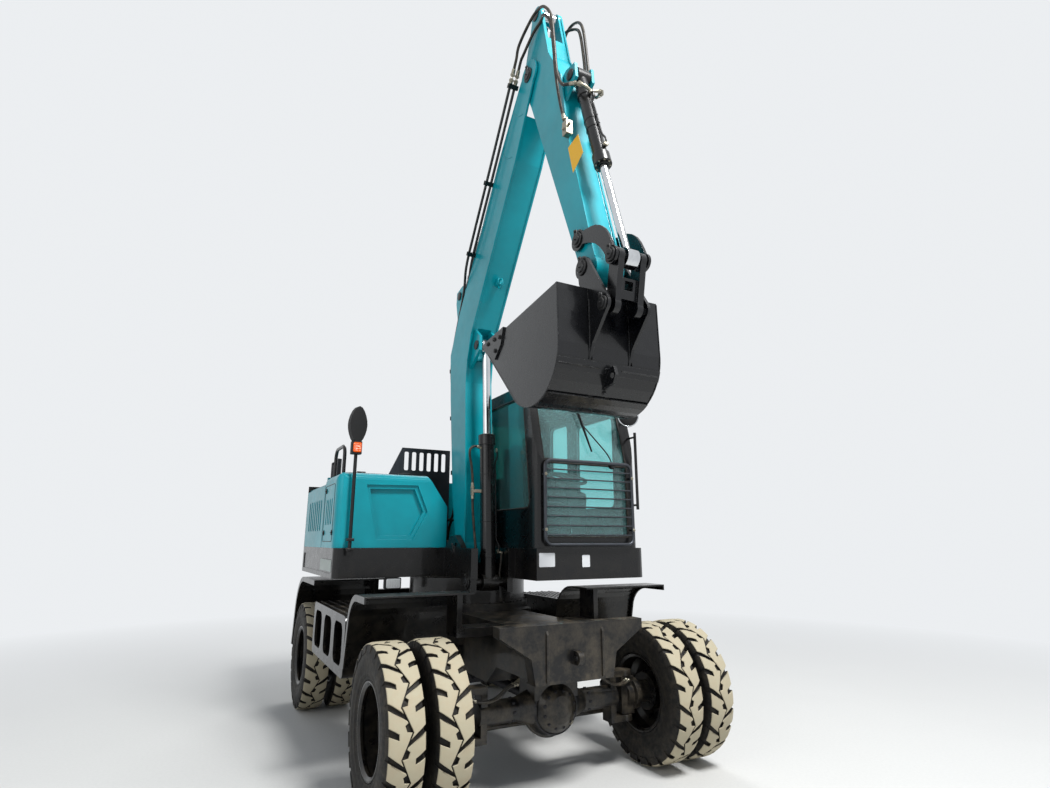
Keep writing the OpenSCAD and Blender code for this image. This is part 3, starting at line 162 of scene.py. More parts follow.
class Form:
    """Gathers closed solids into one mesh, which then becomes one piece."""

    def __init__(self):
        self.mesh = bmesh.new()

    def loft(self, rings, closed=False, slot=0):
        """Skin over rings of equally many points, with flat ends or closed on itself."""
        rows = [[self.mesh.verts.new(p) for p in ring] for ring in rings]
        count = len(rows[0])
        pairs = list(zip(rows, rows[1:]))
        if closed:
            pairs.append((rows[-1], rows[0]))
        for a, b in pairs:
            for i in range(count):
                j = (i + 1) % count
                self.mesh.faces.new((a[i], a[j], b[j], b[i])).material_index = slot
        if not closed:
            self.mesh.faces.new(rows[0][::-1]).material_index = slot
            self.mesh.faces.new(rows[-1]).material_index = slot

    def turned(self, profile, at, axis, sides=32, closed=False, slot=0):
        """A profile of (radius, distance along the axis) turned about the axis through at."""
        along = Vector(axis).normalized()
        side = along.orthogonal().normalized()
        other = along.cross(side)
        self.loft([[Vector(at) + along * d + (side * cos(a) + other * sin(a)) * r for a in circle(sides)]
                   for r, d in profile], closed, slot)

    def rod(self, a, b, r, sides=16):
        """A round bar from a to b with broken edges."""
        axis, edge = Vector(b) - Vector(a), 0.0015
        self.turned([(r - edge, 0), (r, edge), (r, axis.length - edge), (r - edge, axis.length)],
                    a, axis, sides)

    def ring(self, at, axis, r, thick, sides=32, tube_sides=10):
        """A round ring of round bar."""
        self.turned([(r + thick * cos(a), thick * sin(a)) for a in circle(tube_sides)],
                    at, axis, sides, True)

    def tube(self, line, r, sides=10, closed=False):
        """A round tube along a line of points."""
        count = len(line)
        side = None
        rings = []
        for i, p in enumerate(line):
            if closed:
                along = (line[(i + 1) % count] - line[i - 1]).normalized()
            else:
                along = (line[min(i + 1, count - 1)] - line[max(i - 1, 0)]).normalized()
            if side is None:
                side = along.orthogonal()
            side = (side - along * side.dot(along)).normalized()
            other = along.cross(side)
            rings.append([p + (side * cos(a) + other * sin(a)) * r for a in circle(sides)])
        self.loft(rings, closed)

    def plate(self, outline, at, u, v, thick, chamfer=0.0):
        """A flat outline in the directions u and v, made thick along u x v."""
        at, u, v = Vector(at), Vector(u), Vector(v)
        w = u.cross(v).normalized()
        a, b = (sum(p[k] for p in outline) / len(outline) for k in (0, 1))
        size = max(max(abs(p[0] - a), abs(p[1] - b)) for p in outline)

        def ring(shrink, lift):
            k = 1 - shrink / size
            return [at + u * (a + (p[0] - a) * k) + v * (b + (p[1] - b) * k) + w * lift for p in outline]
        steps = ((0, 0), (0, thick))
        if chamfer:
            steps = ((chamfer, 0), (0, chamfer), (0, thick - chamfer), (chamfer, thick))
        self.loft([ring(*step) for step in steps])

    def block(self, lo, hi, chamfer=0.002):
        """A box with broken edges."""
        rings = []
        for z, cut in ((lo[2], chamfer), (lo[2] + chamfer, 0), (hi[2] - chamfer, 0), (hi[2], chamfer)):
            x0, y0, x1, y1 = lo[0] + cut, lo[1] + cut, hi[0] - cut, hi[1] - cut
            rings.append([(x0, y0, z), (x1, y0, z), (x1, y1, z), (x0, y1, z)])
        self.loft(rings)

    def brick(self, centre, half, chamfer=0.002):
        """The same, from its middle and half its size."""
        self.block(Vector(centre) - Vector(half), Vector(centre) + Vector(half), chamfer)

    def bolt(self, at, axis, r=0.010, slot=0):
        """Hexagonal head on a washer."""
        self.turned([(r * 1.35, 0), (r * 1.35, r * 0.2), (r * 1.25, r * 0.28)], at, axis, 16, slot=slot)
        self.turned([(r, r * 0.28), (r, r * 0.85), (r * 0.82, r)], at, axis, 6, slot=slot)

    def fitting(self, at, axis, r=0.014, slot=0):
        """Crimped end of a hose, which points along axis: sleeve, nut and cone."""
        for sides, profile in ((16, ((1.15, -3.2), (1.3, -3), (1.3, -0.4), (1.05, 0))),
                               (6, ((1.5, -0.1), (1.62, 0.1), (1.62, 1.3), (1.5, 1.5))),
                               (16, ((1.0, 1.4), (0.9, 2.2)))):
            self.turned([(r * a, r * d) for a, d in profile], at, axis, sides, slot=slot)

    def done(self, name, body, *materials, sharp=35):
        bmesh.ops.recalc_face_normals(self.mesh, faces=self.mesh.faces)
        data = bpy.data.meshes.new(name)
        self.mesh.to_mesh(data)
        self.mesh.free()
        for material in materials:
            data.materials.append(material)
        data.shade_smooth()
        data.set_sharp_from_angle(angle=radians(sharp))
        piece = add_object(name, data)
        if body:
            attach(piece, body)
        return piece


# Materials
def linear(colour):
    """A colour given as sRGB parts from 0 to 1, as the linear values that Blender works in."""
    return [c / 12.92 if c <= 0.04045 else ((c + 0.055) / 1.055) ** 2.4 for c in colour]


def scaled(colour, k):
    """A linear colour made k times as bright."""
    return [min(1, c * k) for c in colour]


class Nodes:
    """A node tree, with a short call that makes a node and fills its sockets."""

    def __init__(self, tree):
        self.tree = tree

    def plug(self, value, socket):
        """Joins an output to a socket, or gives the socket a value."""
        if hasattr(value, "is_output"):
            self.tree.links.new(value, socket)
        else:
            socket.default_value = (*value, 1) if socket.type == "RGBA" else value

    def node(self, kind, inputs=(), **values):
        made = self.tree.nodes.new(kind)
        for key, value in values.items():
            setattr(made, key, value)
        for key in inputs:
            self.plug(inputs[key], made.inputs[key])
        return made


class Shader(Nodes):
    """A material's node tree, with short calls for the nodes that the finishes share."""

    def __init__(self, name):
        self.material = bpy.data.materials.new(name)
        self.material.use_nodes = True
        super().__init__(self.material.node_tree)
        self.bsdf = self.tree.nodes["Principled BSDF"]
        self.place = self.node("ShaderNodeTexCoord").outputs["Object"]

    def set(self, **values):
        for key, value in values.items():
            self.plug(value, self.bsdf.inputs[key.replace("_", " ")])

    def noise(self, scale, detail=4, roughness=0.6, stretch=(1, 1, 1)):
        place = self.node("ShaderNodeMapping", {"Scale": stretch, "Vector": self.place})
        return self.node("ShaderNodeTexNoise", {
            "Scale": scale, "Detail": detail, "Roughness": roughness,
            "Vector": place.outputs["Vector"]}).outputs["Fac"]

    def ramp(self, source, low, high, a, b):
        """Maps source from low..high to a..b, held inside that range."""
        return self.node("ShaderNodeMapRange", {
            "Value": source, "From Min": low, "From Max": high, "To Min": a, "To Max": b}).outputs["Result"]

    def math(self, operation, a, b):
        return self.node("ShaderNodeMath", {0: a, 1: b}, operation=operation, use_clamp=True).outputs["Value"]

    def mix(self, factor, a, b):
        return self.node("ShaderNodeMix", {"Factor": factor, 6: a, 7: b}, data_type="RGBA").outputs[2]

    def normal(self):
        return self.node("ShaderNodeNewGeometry").outputs["Normal"]

    def height_of(self, source):
        return self.node("ShaderNodeSeparateXYZ", {"Vector": source}).outputs["Z"]

    def soft_edges(self, radius):
        """Normals that round the edges over, and a mask that is 1 on them."""
        bevel = self.node("ShaderNodeBevel", {"Radius": radius}, samples=4).outputs["Normal"]
        dot = self.node("ShaderNodeVectorMath", {0: bevel, 1: self.normal()}, operation="DOT_PRODUCT")
        return bevel, self.ramp(dot.outputs["Value"], 0.99, 0.90, 0, 1)

    def bump(self, height, strength, distance, normal=None):
        inputs = {"Strength": strength, "Distance": distance, "Height": height}
        if normal:
            inputs["Normal"] = normal
        self.set(Normal=self.node("ShaderNodeBump", inputs).outputs["Normal"])

    def facing_up(self):
        """1 on faces that look up, 0 on walls and undersides."""
        return self.ramp(self.height_of(self.normal()), 0.2, 0.9, 0, 1)

    def low_down(self, low, high):
        """1 at and below the height low, 0 at and above high, in metres."""
        return self.ramp(self.height_of(self.place), low, high, 1, 0)


DUST = linear((0.66, 0.60, 0.50))


def paint(name, colour, rough=0.28, coat=0.6, dust=0.25, worn=0.25, edge=0.004, shine=0.5):
    """Sprayed enamel: a little uneven in tone and gloss, paler on its edges as rubbed wear and as a painted
    highlight, dusty low down and on top.
    """
    s = Shader(name)
    base = linear(colour)
    normal, rim = s.soft_edges(edge)
    tone = s.ramp(s.noise(1.3), 0.35, 0.65, 0, 1)
    even = s.mix(tone, scaled(base, 1.10), scaled(base, 0.84))
    # Paler colour on the edges: partly rubbed wear, partly a painted highlight standing in for sunlit edges;
    # worn sets how much of both
    pale = [c + (0.62 - c) * 0.35 for c in base]
    wear_and_highlight_chips = s.ramp(s.noise(23, 6, 0.7), 0.50, 0.66, 0, worn)
    even = s.mix(s.math("MULTIPLY", rim, wear_and_highlight_chips), even, pale)
    patches = s.ramp(s.noise(9, 8, 0.7), 0.42, 0.75, 0, 1)
    low = s.math("MULTIPLY", s.low_down(0.7, 1.6), 0.55)
    where = s.math("ADD", s.math("MULTIPLY", s.facing_up(), 0.5), low)
    amount = s.math("MULTIPLY", s.math("MULTIPLY", where, patches), dust)
    s.set(Base_Color=s.mix(amount, even, DUST),
          Roughness=s.math("ADD", s.ramp(s.noise(14, 6), 0.3, 0.8, rough, rough + 0.12), amount),
          Coat_Weight=coat, Coat_Roughness=0.06, Specular_IOR_Level=shine)
    s.bump(s.noise(220, 2), 0.06, 0.001, normal)
    return s.material


def metal(name, colour, rough, edge=0.002):
    """Bare or plated metal with fine streaks."""
    s = Shader(name)
    base = linear(colour)
    normal, rim = s.soft_edges(edge)
    streaks = s.noise(60, 4, 0.5, (1, 1, 0.08))
    stains = s.ramp(s.noise(7, 6, 0.7), 0.45, 0.75, 0, 0.5)
    even = s.mix(streaks, base, scaled(base, 0.8))
    s.set(Base_Color=s.mix(stains, even, scaled(base, 0.6)), Metallic=1.0,
          Roughness=s.ramp(streaks, 0.3, 0.8, rough, rough * 1.6))
    s.bump(streaks, 0.03, 0.0005, normal)
    return s.material


def rubber(name, colour, dust, rough=0.6):
    """Moulded rubber with dry dust rubbed into it."""
    s = Shader(name)
    grime = s.ramp(s.noise(18, 8, 0.75), 0.4, 0.7, 0, dust)
    broad = s.ramp(s.noise(3.1, 5, 0.65), 0.35, 0.65, 0.35, 1)
    s.set(Base_Color=s.mix(s.math("MULTIPLY", grime, broad), linear(colour), DUST), Specular_IOR_Level=0.3,
          Roughness=s.ramp(s.noise(40, 4), 0.3, 0.8, rough, rough + 0.22))
    s.bump(s.noise(160, 3), 0.25, 0.001)
    return s.material


def plastic(name, colour, rough=0.5, grain=0.15):
    """Moulded plastic or film, grained or smooth."""
    s = Shader(name)
    base = linear(colour)
    s.set(Base_Color=s.mix(s.noise(6), base, scaled(base, 0.85)), Specular_IOR_Level=0.35,
          Roughness=s.ramp(s.noise(30), 0.3, 0.8, rough, rough + 0.15))
    s.bump(s.noise(500, 2), grain, 0.0008)
    return s.material


def cloth(name, colour):
    """Woven seat cloth: crossed threads, a soft sheen and worn patches."""
    s = Shader(name)
    base = linear(colour)
    threads = [s.node("ShaderNodeTexWave", {"Scale": 160, "Distortion": 0.6, "Vector": s.place},
                      bands_direction=direction).outputs["Fac"] for direction in ("X", "Z")]
    weave = s.math("MULTIPLY", *threads)
    tone = s.mix(weave, scaled(base, 0.7), scaled(base, 1.5))
    s.set(Base_Color=s.mix(s.ramp(s.noise(8, 6), 0.45, 0.7, 0, 0.35), tone, scaled(base, 2)),
          Roughness=s.ramp(s.noise(30), 0.3, 0.8, 0.75, 0.95), Sheen_Weight=0.4, Sheen_Roughness=0.4)
    s.bump(weave, 0.5, 0.0006)
    return s.material


def glass(name, colour, through=0.92):
    """Tinted pane with a little dust on it."""
    s = Shader(name)
    base = linear(colour)
    s.set(Base_Color=s.mix(s.noise(0.8), base, scaled(base, 0.96)), IOR=1.45, Transmission_Weight=through,
          Roughness=s.ramp(s.noise(5, 8, 0.7), 0.5, 0.8, 0.015, 0.06))
    return s.material


# worn sets paler edges that are partly rubbed wear and partly a painted edge highlight
TEAL = paint("teal_paint", (0.0, 0.580, 0.630), coat=0.15, dust=0.12, shine=0.25)
BLACK = paint("black_paint", (0.030, 0.031, 0.036), rough=0.24, coat=0.25, dust=0.14, shine=0.3)
CHASSIS = paint("chassis_paint", (0.040, 0.040, 0.043), rough=0.32, coat=0.2, dust=0.30, shine=0.3)
BUCKET = paint("bucket_paint", (0.022, 0.026, 0.040), rough=0.22, coat=0.3, dust=0.08, worn=0.5,
               shine=0.35)
BLACK_IRON = paint("black_iron", (0.06, 0.06, 0.063), rough=0.4, coat=0.1, dust=0.2, worn=0.8,
                   edge=0.003, shine=0.35)
PIPE = paint("pipe_paint", (0.035, 0.035, 0.037), rough=0.25, coat=0.2, dust=0.15, worn=0.2,
             edge=0.001, shine=0.4)
CHROME = metal("chrome", (0.86, 0.87, 0.88), 0.08)
CAST = metal("bare_metal", (0.24, 0.24, 0.25), 0.42)
ZINC = metal("zinc_plate", (0.62, 0.60, 0.54), 0.3, edge=0.001)
GUARD = metal("guard_metal", (0.30, 0.31, 0.33), 0.35)
MIRROR = metal("mirror_glass", (0.80, 0.84, 0.86), 0.02)
TYRE = rubber("tyre_rubber", (0.055, 0.055, 0.057), 0.12)
TREAD = rubber("dusty_tread", (0.66, 0.63, 0.54), 0.8)
SEAL = rubber("seal_rubber", (0.05, 0.05, 0.052), 0.1, 0.45)
HOSE = rubber("hose_rubber", (0.075, 0.068, 0.062), 0.25, 0.35)
TRIM = plastic("black_plastic", (0.05, 0.05, 0.054))
AMBER = plastic("amber_lens", (0.95, 0.38, 0.05), 0.15, 0.02)
RED = plastic("red_lens", (0.70, 0.04, 0.04), 0.15, 0.02)
LENS = plastic("clear_lens", (0.85, 0.86, 0.86), 0.12, 0.02)
STICKER = plastic("yellow_film", (0.95, 0.72, 0.06), 0.3, 0.02)
STICKER_PALE = plastic("pale_film", (0.62, 0.66, 0.64), 0.35, 0.02)
WHITE = plastic("white_film", (0.86, 0.87, 0.88), 0.3, 0.02)
CLOTH = cloth("seat_cloth", (0.13, 0.13, 0.14))
PANE = glass("pale_glass", (0.72, 0.93, 0.93))
DARK_PANE = glass("side_glass", (0.10, 0.42, 0.38), 0.85)

FINISH = {
    TEAL: ["right_box", "boom", "arm", "hood", "side_door", "engine_housing"],
    CHASSIS: ["chassis_frame", "axle_front", "axle_rear", "knuckle_left", "knuckle_right", "tie_rod"],
    CHROME: ["boom_rod", "arm_rod", "bucket_rod"],
    CAST: ["driveline", "engine", "exhaust"],
    TYRE: [name for name in nodes if name.startswith("tyres")],
    TRIM: ["controls", "mirrors", "lamps"],
    CLOTH: ["seat"],
    PANE: ["cab_glass", "door_glass"],
    GUARD: ["guard"],
    BUCKET: ["bucket", "rocker", "link"],
}


def finish_nodes():
    finish = {name: material for material, names in FINISH.items() for name in names}
    for name, node in nodes.items():
        node.data.materials.clear()
        node.data.materials.append(finish.get(name, BLACK))


finish_nodes()


# Tyres: a carcass with moulded ridges, and interlocking tread blocks whose tops are dusty
TYRE_R = 0.490
TYRE_HALF = 0.1125
TREAD_HALF = 0.104
LUG_H = 0.024
LUG_EDGE = 0.003
LUG_ROOT = -0.004
LUG_GAP = 0.018
PERIODS = 12
PITCH = 2 * pi * TYRE_R / PERIODS
ZIGZAG = 0.030
GROOVE = 0.004
# One half of the carcass as (radius, place across), from the tread down to the bead
CARCASS = [(0.472, 0.040), (0.467, 0.080), (0.458, 0.098), (0.440, 0.105), (0.436, 0.1065),
           (0.430, 0.1065), (0.420, 0.110), (0.385, 0.1125), (0.350, 0.1125), (0.346, 0.1105),
           (0.320, 0.107), (0.312, 0.108), (0.306, 0.105), (0.290, 0.098), (0.283, 0.0995),
           (0.276, 0.097), (0.2715, 0.088)]


def zigzag(s):
    """Place across of the centre groove at a distance along the tread."""
    t = ((s - 0.45 * PITCH) / PITCH) % 1
    return ZIGZAG * (4 * abs(t - 0.5) - 1)


def slant(b):
    return -0.62 * (b + TREAD_HALF)


def tread_outline():
    """One block of the left half as (across, along): two shoulders, a notch between, a hook pocket."""
    low, high = LUG_GAP, PITCH - LUG_GAP
    foot, head = low + slant(0), high + slant(0)
    return [(-TREAD_HALF, low), (zigzag(foot) - GROOVE, foot),
            (-ZIGZAG - GROOVE, -0.05 * PITCH), (ZIGZAG - GROOVE, 0.45 * PITCH),
            (-0.004, 0.47 * PITCH), (-0.014, 0.59 * PITCH), (0.004, 0.64 * PITCH),
            (zigzag(0.64 * PITCH) - GROOVE, 0.64 * PITCH),
            (zigzag(head) - GROOVE, head), (-TREAD_HALF, high),
            (-TREAD_HALF, PITCH / 2 + 0.020), (-0.048, PITCH / 2 - 0.014),
            (-0.048, PITCH / 2 - 0.044), (-TREAD_HALF, PITCH / 2 - 0.020)]


def tread_block():
    """The block, flat: its top at LUG_H, with broken edges and enough cuts to bend round the tyre."""
    flat = bmesh.new()
    flat.faces.new([flat.verts.new((b, s, LUG_H)) for b, s in tread_outline()])
    cuts = [(vec(0, PITCH * k / 7, 0), Y) for k in range(-2, 9)] + [(vec(-0.075, 0, 0), X)]
    for at, across in cuts:
        bmesh.ops.bisect_plane(flat, geom=flat.verts[:] + flat.edges[:] + flat.faces[:],
                               plane_co=at, plane_no=across)
    top = flat.faces[:]
    bmesh.ops.inset_region(flat, faces=top, thickness=LUG_EDGE, depth=0, use_boundary=True)
    inner = set(v for f in top for v in f.verts)
    for v in flat.verts:
        if v not in inner:
            v.co.z -= LUG_EDGE
    made = bmesh.ops.extrude_face_region(flat, geom=flat.faces[:])
    for v in [e for e in made["geom"] if isinstance(e, bmesh.types.BMVert)]:
        v.co.z = LUG_ROOT
    bmesh.ops.recalc_face_normals(flat, faces=flat.faces[:])
    return flat


def on_tyre(b, s, h):
    """A flat place on the tread as a point of a tyre about the X axis, with crowned shoulders."""
    crown = 0.010 * max(0.0, (abs(b) - 0.07) / 0.034) ** 2
    r = TYRE_R - LUG_H + h - crown
    return vec(b, r * cos(s / TYRE_R), -r * sin(s / TYRE_R))


def tyre_form():
    form = Form()
    form.turned(CARCASS + [(r, -d) for r, d in reversed(CARCASS)], (0, 0, 0), X, 72, True, slot=1)
    flat = tread_block()
    for sign in (1, -1):
        for i in range(PERIODS):
            shift = i * PITCH + (PITCH / 2 if sign < 0 else 0)
            made = {v: form.mesh.verts.new(on_tyre(sign * v.co.x, v.co.y + shift, v.co.z))
                    for v in flat.verts}
            for f in flat.faces:
                face = form.mesh.faces.new([made[v] for v in f.verts])
                face.material_index = 0 if all(v.co.z > LUG_H - LUG_EDGE - 0.0005 for v in f.verts) else 1
            # Ends of the two shoulder lugs, down the side wall
            for a, b in ((0.02, PITCH / 2 - 0.022), (PITCH / 2 + 0.020, PITCH - LUG_GAP)):
                turns = [(s + shift) / TYRE_R for s in (a, (a + b) / 2, b)]
                form.loft([[vec(-sign * x, r * cos(turn), -r * sin(turn))
                            for x, r in ((0.100, 0.476), (0.105, 0.470), (0.1115, 0.432), (0.100, 0.428))]
                           for turn in turns], slot=1)
    flat.free()
    return form


def add_tyres():
    """The same tyre at the eight places of the CAD's twin tyres."""
    made = tyre_form()
    bmesh.ops.recalc_face_normals(made.mesh, faces=made.mesh.faces)
    for wheel, sign, y in WHEELS:
        lo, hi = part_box(f"tyres_{wheel}")
        near, far = sorted((abs(lo.x), abs(hi.x)))
        form = Form()
        for turn, x in enumerate((near + TYRE_HALF, far - TYRE_HALF)):
            copy = bpy.data.meshes.new("tyre_copy")
            made.mesh.to_mesh(copy)
            copy.transform(Matrix.Translation((sign * x, y, AXLE_Z))
                           @ Matrix.Rotation(0.37 * turn + (0.2 if sign < 0 else 0), 4, "X"))
            form.mesh.from_mesh(copy)
            bpy.data.meshes.remove(copy)
        piece = form.done(f"tyre_pair_{wheel}", f"wheel_{wheel}", TREAD, TYRE)
        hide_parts(f"tyres_{wheel}")
    made.mesh.free()


add_tyres()

# Wheels: where the wheel nuts stand on the disc
NUT_FACE = 1.020
NUT_CIRCLE = 0.15


def add_wheel_fittings():
    """Washers and stud ends of the wheel nuts, and the valve stems."""
    for wheel, sign, y in WHEELS:
        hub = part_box(f"rims_{wheel}")[1 if sign > 0 else 0].x
        out = X * sign
        form = Form()
        for a in circle(10):
            at = vec(sign * NUT_FACE, y + NUT_CIRCLE * cos(a), AXLE_Z + NUT_CIRCLE * sin(a))
            form.turned([(0.022, 0.0), (0.022, 0.004), (0.020, 0.005)], at + out * 0.0005, out, 16)
            form.rod(at + out * 0.030, at + out * 0.042, 0.009, 12)
        form.tube(smooth_line([(hub - sign * back, y, AXLE_Z + up)
                               for back, up in ((0.10, 0.225), (0.065, 0.228), (0.045, 0.218))]), 0.005)
        form.done(f"wheel_fittings_{wheel}", f"wheel_{wheel}", CAST)


add_wheel_fittings()


# Boom, arm and bucket: pins, hoses, pipes and clamps
HOSE_R = 0.0125
LIFT_HOSE_R = 0.011
PIPE_R = 0.0072
BEAD_R = 0.005

# Pin ends as piece, body and rows of (pin, half its length, its radius)
PIN_CAPS = (
    ("boom_pin_caps", "boom", ((TIP, BOOM_SIDE, 0.042), (FOOT, BOOM_SIDE + 0.0025, 0.036))),
    ("deck_pin_caps", "upper", ((BOOM_BASE, 0.192, 0.035), (FOOT, 0.192, 0.035))),
    ("rocker_pin_caps", "rocker", ((ROCKER_PIN, 0.136, 0.035), (LINK_PIN, 0.136, 0.032))),
    ("bucket_pin_caps", "bucket", ((WRIST, 0.166, 0.036), (BUCKET_PIN, 0.166, 0.032))),
)
# Plain pin ends on the lugs, each with its profile
BOSS = ((0.044, 0), (0.044, 0.010), (0.038, 0.013))
FLAT_BOSS = ((0.05, 0), (0.05, 0.007), (0.04, 0.010))
LUG_CAPS = (
    ("boom_lug_caps", "boom", ((BOOM_EYE, 0.097, BOSS), (ARM_BASE, 0.092, BOSS))),
    ("arm_lug_caps", "arm", ((CURL_BASE, 0.087, BOSS), (ARM_EYE, ARM_SIDE, FLAT_BOSS))),
)


def corners(x0, y0, x1, y1):
    return [(x0, y0), (x1, y0), (x1, y1), (x0, y1)]


def pin_cap(form, at, sign, half, r):
    """End of a pin on one side: a collar, the pin's head, a keeper plate with its bolt, a grease nipple."""
    out = X * sign
    face = at + out * half
    form.turned([(r * 1.5, 0), (r * 1.5, 0.008), (r * 1.35, 0.012), (r * 1.02, 0.012)], face, out)
    form.turned([(r, 0.006), (r, 0.018), (r * 0.9, 0.021), (r * 0.3, 0.021)], face, out)
    form.rod(face + out * 0.018, face + out * 0.030, 0.006, 10)
    form.plate(round_box((-0.018, 0), (0.018, r * 2.1), 0.012, 3),
               face + out * (0.012 if sign > 0 else 0.020), Y, Z, 0.008, 0.0015)
    form.bolt(face + Z * r * 1.75 + out * 0.020, out, 0.009)


def lug_cap(form, at, sign, half, profile):
    form.turned(profile, at + X * sign * half, X * sign, 24)


def add_pins():
    for cap, pieces in ((pin_cap, PIN_CAPS), (lug_cap, LUG_CAPS)):
        for name, body, rows in pieces:
            form = Form()
            for at, half, end in rows:
                for sign in (1, -1):
                    cap(form, at, sign, half, end)
            form.done(name, body, BLACK_IRON)


add_pins()


def add_hose(name, body, points, r=HOSE_R, material=HOSE, ends=(1, 1), blend=None):
    """A hose through the points, with a crimped fitting at each end that asks for one."""
    form = Form()
    line = smooth_line(points)
    form.tube(line, r, 12)
    for wanted, end, before in ((ends[0], line[0], line[1]), (ends[1], line[-1], line[-2])):
        if wanted:
            form.fitting(end, end - before, r * 1.02, 1)
    piece = form.done(name, body, material, ZINC)
    if blend:
        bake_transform(piece)


# The boom's hoses as (line, along, off, share of the way from the leg's back to the boom's side)
BOOM_LINE = ((on_leg, 0.42, -0.235, 0), (on_leg, 0.9, -0.262, 0), (on_leg, 1.5, -0.285, 0),
             (on_leg, 1.95, -0.285, 0), (on_boom, 2.05, 0.275, 0.3), (on_boom, 1.75, 0.235, 0.85),
             (on_boom, 1.4, 0.205, 1), (on_boom, 0.9, 0.20, 1), (on_boom, 0.5, 0.20, 1),
             (on_boom, 0.06, 0.205, 1))


def add_boom_lines():
    """Two hoses on each side of the boom: up the leg's back, along the back edge, over to the arm."""
    for side, sign in reversed(SIDES):
        for k in range(2):
            across = FOOT.x + sign * (0.155 + 0.045 * k)
            inside = FOOT.x + sign * (0.045 + 0.050 * k)
            line = [place(d, off, inside + (across - inside) * share)
                    for place, d, off, share in BOOM_LINE]
            add_hose(f"boom_hose_{side}_{k}", "boom", line, ends=(0, 1), material=PIPE)
            away = FOOT.x + sign * (0.145 + 0.010 * k)
            rise, back = 0.075 * k, 0.03 * k
            loop = [on_boom(0.00, 0.206, across), on_boom(-0.12, 0.21, across),
                    (across, -1.165, 5.745 + rise),
                    (across - sign * 0.02, -1.30, 5.855 + rise),
                    (across - sign * 0.03, -1.425, 5.885 + rise),
                    (away + sign * 0.015, -1.535 - 0.02 * k, 5.835 + rise * 0.8),
                    (away, -1.615 - back, 5.70 + rise * 0.4), (away, -1.655 - back, 5.45),
                    (away, -1.68 - back, 5.2)]
            last = ((0, -1.715, 4.98), (0, -1.765, 4.76), (0, -1.80, 4.66))
            if k:
                last = ((0, -1.735, 5.08), (0.005, -1.79, 4.965), (0.02, -1.86, 4.92), (0.035, -1.905, 4.895))
            add_hose(f"arm_hose_{side}_{k}", None, loop + [(away - sign * x, y, z) for x, y, z in last],
                     blend=("boom", "arm", on_boom(-0.15, 0.2, across), vec(away, -1.66, 5.35)))
        # Where the hoses end: a valve block on the arm's side, and an elbow into the cylinder
        form = Form()
        block = vec(FOOT.x + sign * ARM_SIDE, -1.822, 4.575)
        port = block + X * sign * 0.03
        form.brick(block + vec(sign * 0.023, 0, -0.015), (0.027, 0.03, 0.06), 0.004)
        form.bolt(block + vec(sign * 0.05, 0.012, -0.02), X * sign, 0.011)
        form.rod(port + Z * 0.04, port + Z * 0.075, 0.012)
        form.rod(port - Y * 0.028, port - Y * 0.055, 0.010)
        form.done(f"arm_fittings_{side}", "arm", ZINC)
        elbow = [vec(FOOT.x + sign * x, y, z) for x, y, z in (
            (0.115, -1.905, 4.893), (0.095, -1.94, 4.878), (0.06, -1.955, 4.862), (0.01, -1.953, 4.843))]
        form = Form()
        form.tube(smooth_line(elbow), 0.012, 12)
        form.turned([(0.020, -0.012), (0.022, -0.01), (0.022, 0.012), (0.020, 0.014)], elbow[1],
                    elbow[2] - elbow[1], 6)
        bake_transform(form.done(f"curl_elbow_{side}", None, ZINC))


add_boom_lines()


def add_clamps():
    """Clamp bars over the hoses on the boom's sides and on the leg's back, with their bolts."""
    ahead, left = ways(on_boom)
    for side, sign in reversed(SIDES):
        form = Form()
        inner = FOOT.x + sign * (BOOM_SIDE - 0.01)
        x0, x1 = sorted((0, sign * 0.095))
        for d in (0.10, 0.95, 1.62):
            for off in (0.184, 0.214):
                form.plate(corners(x0, -0.02, x1, 0.02), on_boom(d, off, inner), X, ahead, 0.005)
            for x in (0.02, 0.042, 0.086):
                form.bolt(on_boom(d, 0.217, inner + sign * x), left, 0.007, 1)
        form.done(f"hose_clamps_{side}", "boom", BLACK, ZINC)
    form = Form()
    ahead, left = ways(on_leg)
    for d, back in ((0.75, 0.20), (1.30, 0.222), (1.80, 0.232)):
        form.plate(corners(-0.125, -0.02, 0.125, 0.02), on_leg(d, -back - 0.052, FOOT.x), X, ahead, 0.006,
                   0.001)
        for x in (-0.11, -0.02, 0.02, 0.11):
            form.rod(on_leg(d, -back + 0.02, FOOT.x + x), on_leg(d, -back - 0.055, FOOT.x + x), 0.008, 10)
            form.bolt(on_leg(d, -back - 0.058, FOOT.x + x), -left, 0.009, 1)
    form.done("leg_clamps", "boom", BLACK, ZINC)


add_clamps()

# Name, base, rod's eye, radius of the barrel and its length from the base's pin
CYLINDERS = (("boom", BOOM_BASE, BOOM_EYE, 0.065, 1.270), ("arm", ARM_BASE, ARM_EYE, 0.060, 1.500),
             ("bucket", CURL_BASE, LINK_PIN, 0.0525, 0.950))


